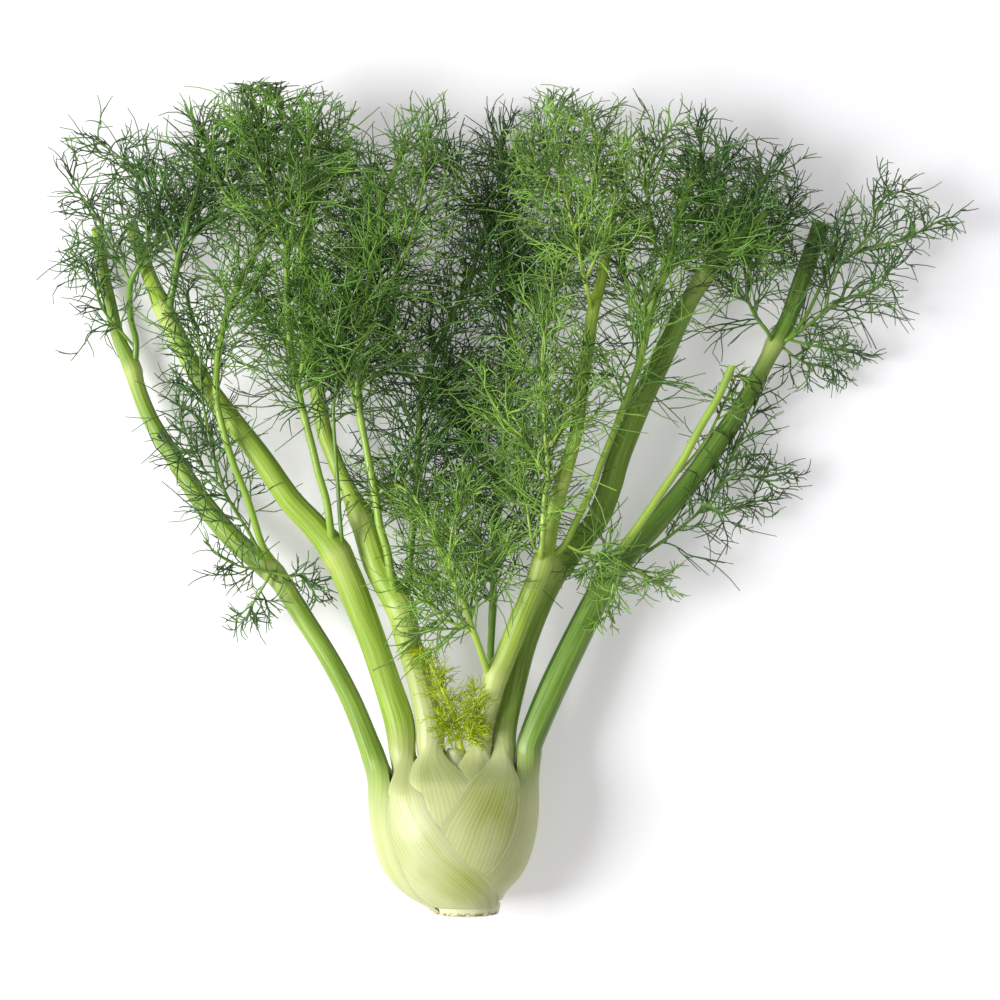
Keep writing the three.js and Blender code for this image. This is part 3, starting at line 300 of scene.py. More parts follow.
# For each leaf: `pale` is the span of Y in which white turns to green, `knots` are the Y of its joints, and
# `deep` says how dark its green is, `seam` how far its margin stands up and `ribs` how many ribs it has.
# `deep` is partly the leaf's own green and partly painted shade: it makes the two leaves on the right,
# whose stalks lie in shade, darker.
LEAVES = [
    dict(
        name="leaf_outer_left", seam=0.12, ribs=8, pale=[-6, 44], knots=[140, 252], deep=0.5, side=-1,
        first_ring=1, blend=[18, 41], neck_wall=14.5,
        front=[[-46, 42], [-28, 45], [2, 39], [25, 41], [50, 44]],
        back=[[-46, 60], [-20, 56], [10, 46], [50, 44]],
        stalk=[[-43, 14, 34, 15], [-45, 35.75, 34, 13.4], [-48.4, 46.75, 34, 12.2], [-57.4, 68.75, 33, 11.2],
            [-69, 90.75, 31.5, 10.8], [-83.1, 112.75, 29, 10.8], [-97.4, 134.75, 27, 11.4],
            [-104, 141.5, 26, 12.2], [-122.4, 156.75, 24, 11.6], [-141.3, 178.75, 21, 11.2],
            [-155.8, 201, 18.5, 9.8], [-169.4, 222.75, 16, 8.8], [-177.2, 241.5, 14, 8.4],
            [-180.5, 252.5, 12.5, 9.4], [-188, 268.5, 11, 7.2], [-193.5, 289, 9, 7.1], [-197.5, 306, 7, 7],
            [-201.5, 331, 2.9, 6.2]],
    ),
    dict(
        name="leaf_second_left", seam=0.4, ribs=13, pale=[30, 62], knots=[150, 283], deep=0.16, side=-1,
        first_ring=2, blend=[20, 44], neck_wall=14.5,
        front=[[-46, 152], [-37, 146], [-32, 129], [-23, 110.5], [-15, 95], [-6.6, 86], [3.3, 77], [14, 69],
            [31, 62.5], [50, 62]],
        back=[[-46, 128], [-20, 116], [10, 108], [30, 80], [50, 62]],
        stalk=[[-29.5, 14, 34, 15], [-29.5, 38.5, 34, 14.5], [-31, 57, 34.5, 16.6],
            [-38.1, 79.75, 35.5, 15.2], [-45.5, 101.75, 37, 15], [-53.9, 123.75, 39, 15.8],
            [-60, 139, 40, 16], [-66, 151, 41, 15.8], [-77, 164.5, 42, 14.2], [-90.2, 178.75, 43, 13.4],
            [-105, 200.5, 44.5, 12.2], [-122, 222.75, 45, 11.2], [-138.5, 244.75, 44.3, 10.8],
            [-148.3, 261, 42, 10], [-158.3, 280, 37, 10.5], [-168.5, 301, 27.5, 8], [-174.5, 316, 21, 7.8],
            [-180.7, 331.5, 17, 7.2]],
    ),
    dict(
        name="leaf_outer_right", seam=0.12, ribs=8, pale=[8, 56], knots=[141, 266], deep=0.85, side=1,
        first_ring=3, blend=[20, 44], neck_wall=13.5,
        front=[[-46, 84], [-33, 73], [-25.8, 64], [-21, 56], [-11, 48], [3, 41], [19, 39], [43, 43],
            [50, 43]],
        back=[[-46, 76], [-20, 62], [10, 50], [50, 43]],
        stalk=[[39.5, 14, 34, 14], [40, 38.5, 34, 14.5], [41.5, 48, 34, 14.5], [53.4, 76, 32, 15.5],
            [71.3, 112.75, 28, 14.7], [80.7, 131, 26.5, 13.8], [86.5, 140.5, 25.5, 14.5],
            [95.5, 150.5, 24, 13.2], [112, 168, 22, 12.2], [130, 190, 20, 11.2], [145.7, 212, 18, 10.8],
            [160.3, 233.75, 15, 9.8], [172.3, 256, 13, 9.2], [177.5, 266.5, 12, 10], [184.3, 278.5, 11, 9.4],
            [192, 300, 9, 9.8], [203.7, 333, 5.4, 10]],
    ),
    dict(
        name="leaf_second_right", seam=0.4, ribs=12, pale=[36, 62], knots=[143, 302], deep=0.55, side=1,
        first_ring=4, blend=[24, 47], neck_wall=11.5,
        front=[[-46, 120], [-30, 112], [2, 96], [6.6, 93], [18.7, 83], [31, 73], [42, 62], [50, 52]],
        back=[[-46, 120], [-20, 104], [10, 92], [30, 70], [50, 52]],
        stalk=[[26, 14, 34, 13], [26, 38.5, 33, 13.5], [27, 55, 31, 13.2], [32.6, 79.75, 28.5, 13.2],
            [38.4, 101.75, 26, 13.2], [46.5, 122, 24.5, 13.2], [50.8, 131, 23.8, 13.2], [56.5, 142, 23, 14],
            [64, 150.5, 23, 13.4], [77.5, 167.5, 23, 13], [85, 186, 23.5, 13], [90.5, 204.4, 24.5, 12.8],
            [102.5, 233.75, 26, 12.4], [113, 256, 28, 11.8], [123, 277.75, 29, 10.6], [129.5, 290.5, 30, 10],
            [137, 302.5, 31, 10], [142.7, 311, 32, 8.4], [148, 322, 33, 7.8], [153.7, 342.5, 34, 7.4]],
    ),
    dict(
        name="leaf_inner_left", seam=0.7, ribs=13, pale=[48, 130], knots=[121, 171], deep=0.04, side=-1,
        first_ring=5, blend=[24, 48], neck_wall=15.5,
        front=[[-46, 118], [10, 108], [27, 100], [33.5, 95], [41, 86], [50, 80]],
        back=[[-46, 118], [10, 104], [30, 92], [50, 78]],
        stalk=[[-13, 14, 34, 15.5], [-14, 41, 35, 15.5], [-14.5, 57, 36, 15.4], [-19.9, 79.75, 38, 13.2],
            [-25.9, 101.75, 40, 14.2], [-30, 119.5, 41, 15.5], [-38.5, 133.5, 37, 14.8],
            [-44.3, 146, 34, 15], [-50, 164, 31, 14.2], [-53.5, 172.5, 30, 12.5], [-59, 184, 28.5, 9.4],
            [-64, 194, 28, 8.6], [-69, 206.5, 27, 8.4], [-73.5, 220, 26, 8.4], [-80, 261, 23, 8.2],
            [-82.5, 289, 22, 7.6], [-84, 316, 21, 7.2], [-81.5, 344, 20, 6.6], [-78, 368.5, 20, 6]],
    ),
    dict(
        name="leaf_inner_right", seam=0.7, ribs=13, pale=[48, 110], knots=[83, 146, 191], deep=0.06, side=1,
        first_ring=6, blend=[24, 48], neck_wall=15,
        front=[[-46, 116], [10, 104], [30, 92], [43, 84], [50, 80]],
        back=[[-46, 116], [10, 104], [30, 90], [50, 78]],
        stalk=[[12, 14, 34, 15], [12.5, 41, 36, 14.5], [14.5, 57.75, 38.5, 13], [18.6, 70, 41, 12.6],
            [22, 82.5, 43, 12.8], [26.2, 91, 44, 12.2], [34.8, 113, 47, 11.4], [43.3, 134, 50.5, 11.2],
            [47.2, 145, 52, 11.4], [50, 154, 52.5, 9], [52.5, 167.8, 53.5, 8.4], [58.3, 189.8, 55, 8.2],
            [63.6, 208, 55, 7.4], [66.5, 222, 55, 7.2], [72.5, 267, 53, 6.8], [75, 283, 52, 6.8],
            [79, 297, 50, 6], [82.5, 316, 48, 5], [86, 335.5, 46, 4.5]],
    ),
]
print("leaves:", [leaf["name"] for leaf in LEAVES])

# %% [markdown]
# A leaf base lies under the ones outside it, so its depth below the bulb's face is the sum of their walls.
# Where an outer leaf ends, the step fades over a few degrees, and the next leaf comes up to the face.

# %% How deep each layer lies
def side_angle(leaf, turn):
    return turn if leaf["side"] > 0 else 180 - turn


def turn_from(leaf, angle):
    turn = angle if leaf["side"] > 0 else 180 - angle
    return (turn + 180) % 360 - 180


def reach(leaf, turn, y):
    return profile(leaf["front"] if turn >= 0 else leaf["back"], y)


def wall(leaf, turn, y):
    across = min(abs(turn) / reach(leaf, turn, y), 1)
    start = RINGS[leaf["first_ring"]]
    middle = lerp(BASE_WALL, BELLY_WALL, smooth((y - start) / BELLY_RISE))
    middle += (leaf["neck_wall"] - BELLY_WALL) * rise(y, NECK_RISE)
    edge = lerp(EDGE_WALL, NECK_EDGE, rise(y, NECK_EDGE_RISE)) * leaf["seam"]
    return lerp(middle, edge, across * across)


def cover(leaf, turn, y):
    start, below = RINGS[leaf["first_ring"]], RINGS[leaf["first_ring"] - 1]
    past = abs(turn) - reach(leaf, turn, y)
    return smooth((y - below) / (start - below)) * (1 - smooth(past / EDGE_FADE))


def depth_under(count, angle, y):
    depth = 0
    for leaf in LEAVES[:count]:
        turn = turn_from(leaf, angle)
        share = cover(leaf, turn, y)
        if share > 0:
            depth += share * (wall(leaf, turn, y) + CLEARANCE)
    return depth


def bulb_point(angle, y, depth, least=0.0):
    x = profile(BULB, y, 2) * math.cos(math.radians(angle))
    z = profile(BULB, y, 3) * math.sin(math.radians(angle))
    far = math.hypot(x, z)
    scale = max(far - depth, least) / far
    return Vector((profile(BULB, y, 1) + x * scale, y, AXIS_HEIGHT + z * scale))


print("depth of the second leaf on the left at its middle:", round(depth_under(1, 180, 10), 1))

# %% [markdown]
# Above the bulb a leaf is a stalk: a slightly flattened rod that follows its stations and thickens at
# each knot, where a side branch leaves it.

# %% The stalks
KNOT_SWELL = 0.11
KNOT_LENGTH = 4.5
COLLAR = (13, 2.2)


def knot_share(leaf, y, below=KNOT_LENGTH, above=KNOT_LENGTH):
    """1 at a joint, fading over a length below it and another above it."""
    shares = (math.exp(-(((y - knot) / (below if y < knot else above)) ** 2)) for knot in leaf["knots"])
    return max(shares, default=0)


def stalk_at(leaf, t):
    """Middle, outward and upward directions, and thickness of a stalk at t along its stations."""
    x, y, z, thickness = along(leaf["stalk"], t)
    before = along(leaf["stalk"], max(t - 0.02, 0))
    after = along(leaf["stalk"], min(t + 0.02, len(leaf["stalk"]) - 1))
    ahead = (Vector(after[:3]) - Vector(before[:3])).normalized()
    outward = ahead.cross(Vector((0, 0, 1))).normalized() * leaf["side"]
    upward = (outward.cross(ahead) * leaf["side"]).normalized()
    return Vector((x, y, z)), outward, upward, thickness


def stalk_at_height(leaf, y):
    low, high = 0, 3
    for _ in range(30):
        t = (low + high) / 2
        if along(leaf["stalk"], t)[1] < y:
            low = t
        else:
            high = t
    return (low + high) / 2


# %% [markdown]
# Fennel is ribbed: strong veins run all the way from the root end up each stalk, with the flesh between
# them slightly sunken. The ribs are real geometry, about a tenth of a millimetre high, so that they catch
# the light at the stalk's edges too. A ring of points is laid out at each height, one half on the leaf's
# outer face and one on its inner face. Its points stand closer near the two margins, whose rim is rounded
# off. On the stalk the outer half wraps most of the way round, as a leaf's sheath does, and LAP is how many
# degrees each margin runs on under or over its neighbour, so that no gap opens between them.

# %% Rings of a leaf
HALF = 46
WRAP = 140
INNER_RIBS = 3
RIB_HEIGHT = 0.13
VEIN_HEIGHT = 0.08
RIM_ROUND = 0.7
LAP = 3
RIM_FADE = 99.0
VEIN_FADE = 6
WOBBLE = 0.45


def spread(share):
    return lerp(share, 0.5 - 0.5 * math.cos(math.pi * share), 0.35)


def ribbing(leaf, across, run, count):
    """Height of the ribs, from -1 to 1, at a share across the leaf's face."""
    strong = math.cos(2 * math.pi * count * across)
    broad = math.cos(2 * math.pi * (count / 3) * across + leaf["side"])
    fade = noise.noise(Vector((across * 9, run * 0.012, leaf["deep"] * 40)))
    return (0.65 * strong + 0.35 * broad) * (0.85 + 0.6 * fade)


def leaf_ring(leaf, order, y, t):
    """Points of one ring with what the paint needs at each: share across, millimetres from the rim."""
    blend = rise(y, leaf["blend"]) if y < NECK else 1
    middle, outward, upward, thickness = stalk_at(leaf, t)
    knot = knot_share(leaf, middle.y)
    thickness *= 1 + KNOT_SWELL * knot
    run = middle.y
    front, back = profile(leaf["front"], y) + LAP, profile(leaf["back"], y) + LAP
    ring = []
    for i in range(2 * HALF):
        outer = i < HALF
        across = spread((i if outer else 2 * HALF - 1 - i) / (HALF - 1))
        ribs = ribbing(leaf, across, run, leaf["ribs"] if outer else INNER_RIBS) * (1 - 0.7 * knot)
        soft = noise.noise(middle * 0.03 + Vector((across * 3, 0, 0 if outer else 3))) * WOBBLE
        turn = math.radians(lerp(-WRAP, WRAP, across) if outer else lerp(359 - WRAP, WRAP + 1, across))
        out = thickness / 2 + ribs * RIB_HEIGHT + soft * 0.5
        point = middle + outward * (out * math.cos(turn)) + upward * (out * STALK_DEPTH * math.sin(turn))
        rim = RIM_FADE
        if blend < 1:
            turn = lerp(-back, front, across)
            angle = side_angle(leaf, turn)
            radius = profile(BULB, y, 2)
            rim = math.radians(min(turn + back, front - turn)) * radius
            thick = wall(leaf, turn, y)
            q = 1 - min(rim / RIM_ROUND, 1)
            rounding = thick / 2 * (1 - math.sqrt(max(1 - q * q, 0)))
            depth = depth_under(order, angle, y)
            depth += rounding if outer else thick - rounding
            base = bulb_point(angle, y, depth)
            swell = noise.noise(base * 0.045) * WOBBLE
            swell += ribs * VEIN_HEIGHT * smooth(rim / VEIN_FADE) if outer else 0
            base = bulb_point(angle, y, depth - swell)
            point = base.lerp(point, blend)
            rim = lerp(rim, RIM_FADE, blend ** 3)
        ring.append((point, across, rim, outer))
    return ring, run, knot, blend


# %% [markdown]
# The skin of a leaf grows ring by ring: one closed ring of edges is extruded, and its new points are moved
# to the next place. The first ring, deep in the bulb, is simply filled. At the stalk's end the last ring is
# made smaller twice, which leaves a small rounded shoulder and a face that is cut straight, as a knife
# leaves it.

# %% Growing a skin
def grow_ring(bm, ring):
    """Extrudes a closed ring of points and returns the new ones in the same order."""
    edges = [bm.edges.get((a, b)) for a, b in zip(ring, ring[1:] + ring[:1])]
    grown = bmesh.ops.extrude_edge_only(bm, edges=edges)["geom"]
    fresh = {item for item in grown if isinstance(item, bmesh.types.BMVert)}
    return [next(e.other_vert(v) for e in v.link_edges if e.other_vert(v) in fresh) for v in ring]


def start_ring(bm, points):
    ring = bmesh.ops.create_circle(bm, segments=len(points), radius=1)["verts"]
    move_ring(ring, points)
    return ring


def move_ring(ring, points):
    for vert, point in zip(ring, points):
        vert.co = point * MM


def close_ring(bm, ring):
    """Fills an end ring with four-sided faces between its two halves."""
    count = len(ring)
    for i in range(count // 2 - 1):
        bm.faces.new((ring[i], ring[i + 1], ring[count - 2 - i], ring[count - 1 - i]))


def new_piece(name, bm, slot, replaced):
    """Makes a mesh object from a bmesh, attaches it to the plant's body and hides the solid that it replaces.
    """
    bmesh.ops.recalc_face_normals(bm, faces=bm.faces)
    mesh = bpy.data.meshes.new(name)
    bm.to_mesh(mesh)
    bm.free()
    return place_piece(name, mesh, slot, replaced)


def place_piece(name, mesh, slot, replaced):
    piece = bpy.data.objects.new(name, mesh)
    scene.collection.objects.link(piece)
    mesh.polygons.foreach_set("use_smooth", np.ones(len(mesh.polygons), dtype=bool))
    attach(piece, "root")
    if replaced:
        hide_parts(replaced)
    return piece


# %% [markdown]
# Each point of the skin also carries a few numbers for the paint: how white the flesh is, its place across
# the ribs, how near it is to a margin or a knot, and whether it lies on a cut.

# %% The six leaves
BASE_STEP = 1.5
SHADE_RISE = (70, 150)
STALK_PITCH = 3.6
PAINT = ("pale", "vein", "margin", "knot", "cut", "run", "inner", "shaded")


def paint_layers(bm):
    return [bm.verts.layers.float.new(name) for name in PAINT]


def paint_vert(vert, layers, values):
    for layer, value in zip(layers, values):
        vert[layer] = value


def leaf_steps(leaf):
    """Pairs of bulb height and place along the stalk, from the base to the stalk's end."""
    start = RINGS[leaf["first_ring"]]
    count = round((NECK - start) / BASE_STEP)
    steps = []
    for i in range(count + 1):
        y = lerp(start, NECK, i / count)
        steps.append((y, stalk_at_height(leaf, max(y, leaf["stalk"][0][1]))))
    t = steps[-1][1]
    last = len(leaf["stalk"]) - 1
    while t < last:
        here, there = along(leaf["stalk"], t), along(leaf["stalk"], min(t + 0.1, last))
        speed = (Vector(there[:3]) - Vector(here[:3])).length / 0.1
        t += STALK_PITCH / max(speed, 1)
        steps.append((NECK + 1, min(t, last)))
    return steps


def end_rings(points, ahead, shoulder=0.35):
    """Two smaller rings that round off a cut end."""
    centre = sum(points, Vector()) / len(points)
    for inset, forward in ((0.93, shoulder), (0.86, shoulder)):
        yield [centre + (p - centre) * inset + ahead * forward for p in points]


def make_leaf_skin(leaf, order):
    bm = bmesh.new()
    layers = paint_layers(bm)
    ring = None
    previous = None
    for y, t in leaf_steps(leaf):
        places, run, knot, blend = leaf_ring(leaf, order, y, t)
        points = [place[0] for place in places]
        ring = start_ring(bm, points) if ring is None else grow_ring(bm, ring)
        move_ring(ring, points)
        if previous is None:
            close_ring(bm, ring[::-1])
        pale = 1 - rise(min(y, run) if blend < 1 else run, leaf["pale"])
        for vert, (_, across, rim, outer) in zip(ring, places):
            inner = 0 if outer else 1 - blend
            margin = math.exp(-rim / 1.2) * leaf["seam"]
            shaded = 0 if outer else blend * max(rise(run, SHADE_RISE), min(leaf["deep"] * 1.5, 1))
            vein = across * (leaf["ribs"] if outer else INNER_RIBS)
            collar = knot_share(leaf, run, *COLLAR)
            paint_vert(vert, layers, (pale, vein, margin, collar, 0, max(y, run), inner, shaded))
        previous = points
    ahead = Vector(along(leaf["stalk"], len(leaf["stalk"]) - 1)[:3]) - Vector(
        along(leaf["stalk"], len(leaf["stalk"]) - 1.05)[:3]
    )
    for points in end_rings(previous, ahead.normalized()):
        ring = grow_ring(bm, ring)
        move_ring(ring, points)
        for vert in ring:
            paint_vert(vert, layers, (0.3, 0, 0, 0, 1, 999, 0, 0))
    close_ring(bm, ring)
    for vert in bm.verts:
        vert.co.z = max(vert.co.z, 0)
    return new_piece(leaf["name"] + "_skin", bm, leaf["name"], leaf["name"])


leaf_skins = [make_leaf_skin(leaf, order) for order, leaf in enumerate(LEAVES)]
print("faces in each leaf:", [len(skin.data.polygons) for skin in leaf_skins])

# %% [markdown]
# The root end is cut straight with a knife. What shows there is a corky off-white disc with brown leaf
# scars round its rim, and inside the bulb it goes on as the short stem and the rolled heart.

# %% Root end and heart
HEART_HALF = 40
HEART_START, HEART_STEP = -47.4, 1.6
ROOT_PLATE = ((0.05, 0.5), (0.3, 0.45), (0.55, 0.3), (0.78, 0.25), (0.93, 0.1), (1.0, -0.25))


def heart_ring(y):
    narrowing = [1 - share * rise(y, (HEART_SHOULDER, HEART_TOP)) for share in HEART_TAPER]
    points = []
    for i in range(2 * HEART_HALF):
        angle = 180 * i / HEART_HALF
        point = bulb_point(angle, y, depth_under(len(LEAVES), angle, y) + HEART_PLAY, HEART_CORE)
        point.x = lerp(profile(BULB, y, 1), point.x, narrowing[0])
        point.z = lerp(AXIS_HEIGHT, point.z, narrowing[1])
        points.append(point)
    return points


def make_heart():
    bm = bmesh.new()
    layers = paint_layers(bm)
    rim = heart_ring(-48)
    centre = sum(rim, Vector()) / len(rim)
    ring = None
    for share, out in ROOT_PLATE:
        points = []
        for p in rim:
            rough = noise.noise(Vector((p.x * share * 0.5, p.z * share * 0.5, 3))) * 0.35 * share
            points.append(centre + (p - centre) * share + Vector((0, -out + rough, 0)))
        if ring is None:
            ring = start_ring(bm, points)
            close_ring(bm, ring[::-1])
        else:
            ring = grow_ring(bm, ring)
            move_ring(ring, points)
        for i, vert in enumerate(ring):
            paint_vert(vert, layers, (1, i, 0, 0, 1, share, 0, 0))
    y = HEART_START
    while y < HEART_TOP - 1:
        ring = grow_ring(bm, ring)
        move_ring(ring, heart_ring(y))
        for i, vert in enumerate(ring):
            paint_vert(vert, layers, (1 - rise(y, (30, 60)), i, 0, 0, 0, y, 0, 0))
        y += HEART_STEP
    close_ring(bm, ring)
    return new_piece("root_end_and_heart_skin", bm, "root_end_and_heart", "root_end_and_heart")


heart_skin = make_heart()
print("faces in the heart:", len(heart_skin.data.polygons))

# %% [markdown]
# Fennel leaves end in soft threads. A limb branches off a stalk, sprays branch off the limb at every few
# millimetres, twigs off each spray, and each twig forks into threads. A limb has a radius at its base and
# tip, the share of its length where the sprays begin, the length of a spray, and its route. A frond has
# its shade, how closely its sprays stand and how far they reach, and its limbs, of which the first is the
# one that leaves the stalk.

# %% The routes of the limbs
# The shades of the fronds: the dark one, given to fronds that lie lower or further out, is partly their own
# deeper green and partly painted shade; the bright one, given to the top fronds, is partly painted light.
DARK_AND_SHADED, MID, BRIGHT_AND_LIT, YOUNG = 0, 1, 2, 3


def limb(base, tip, start, spray, route):
    return dict(base=base, tip=tip, start=start, spray=spray, route=route)


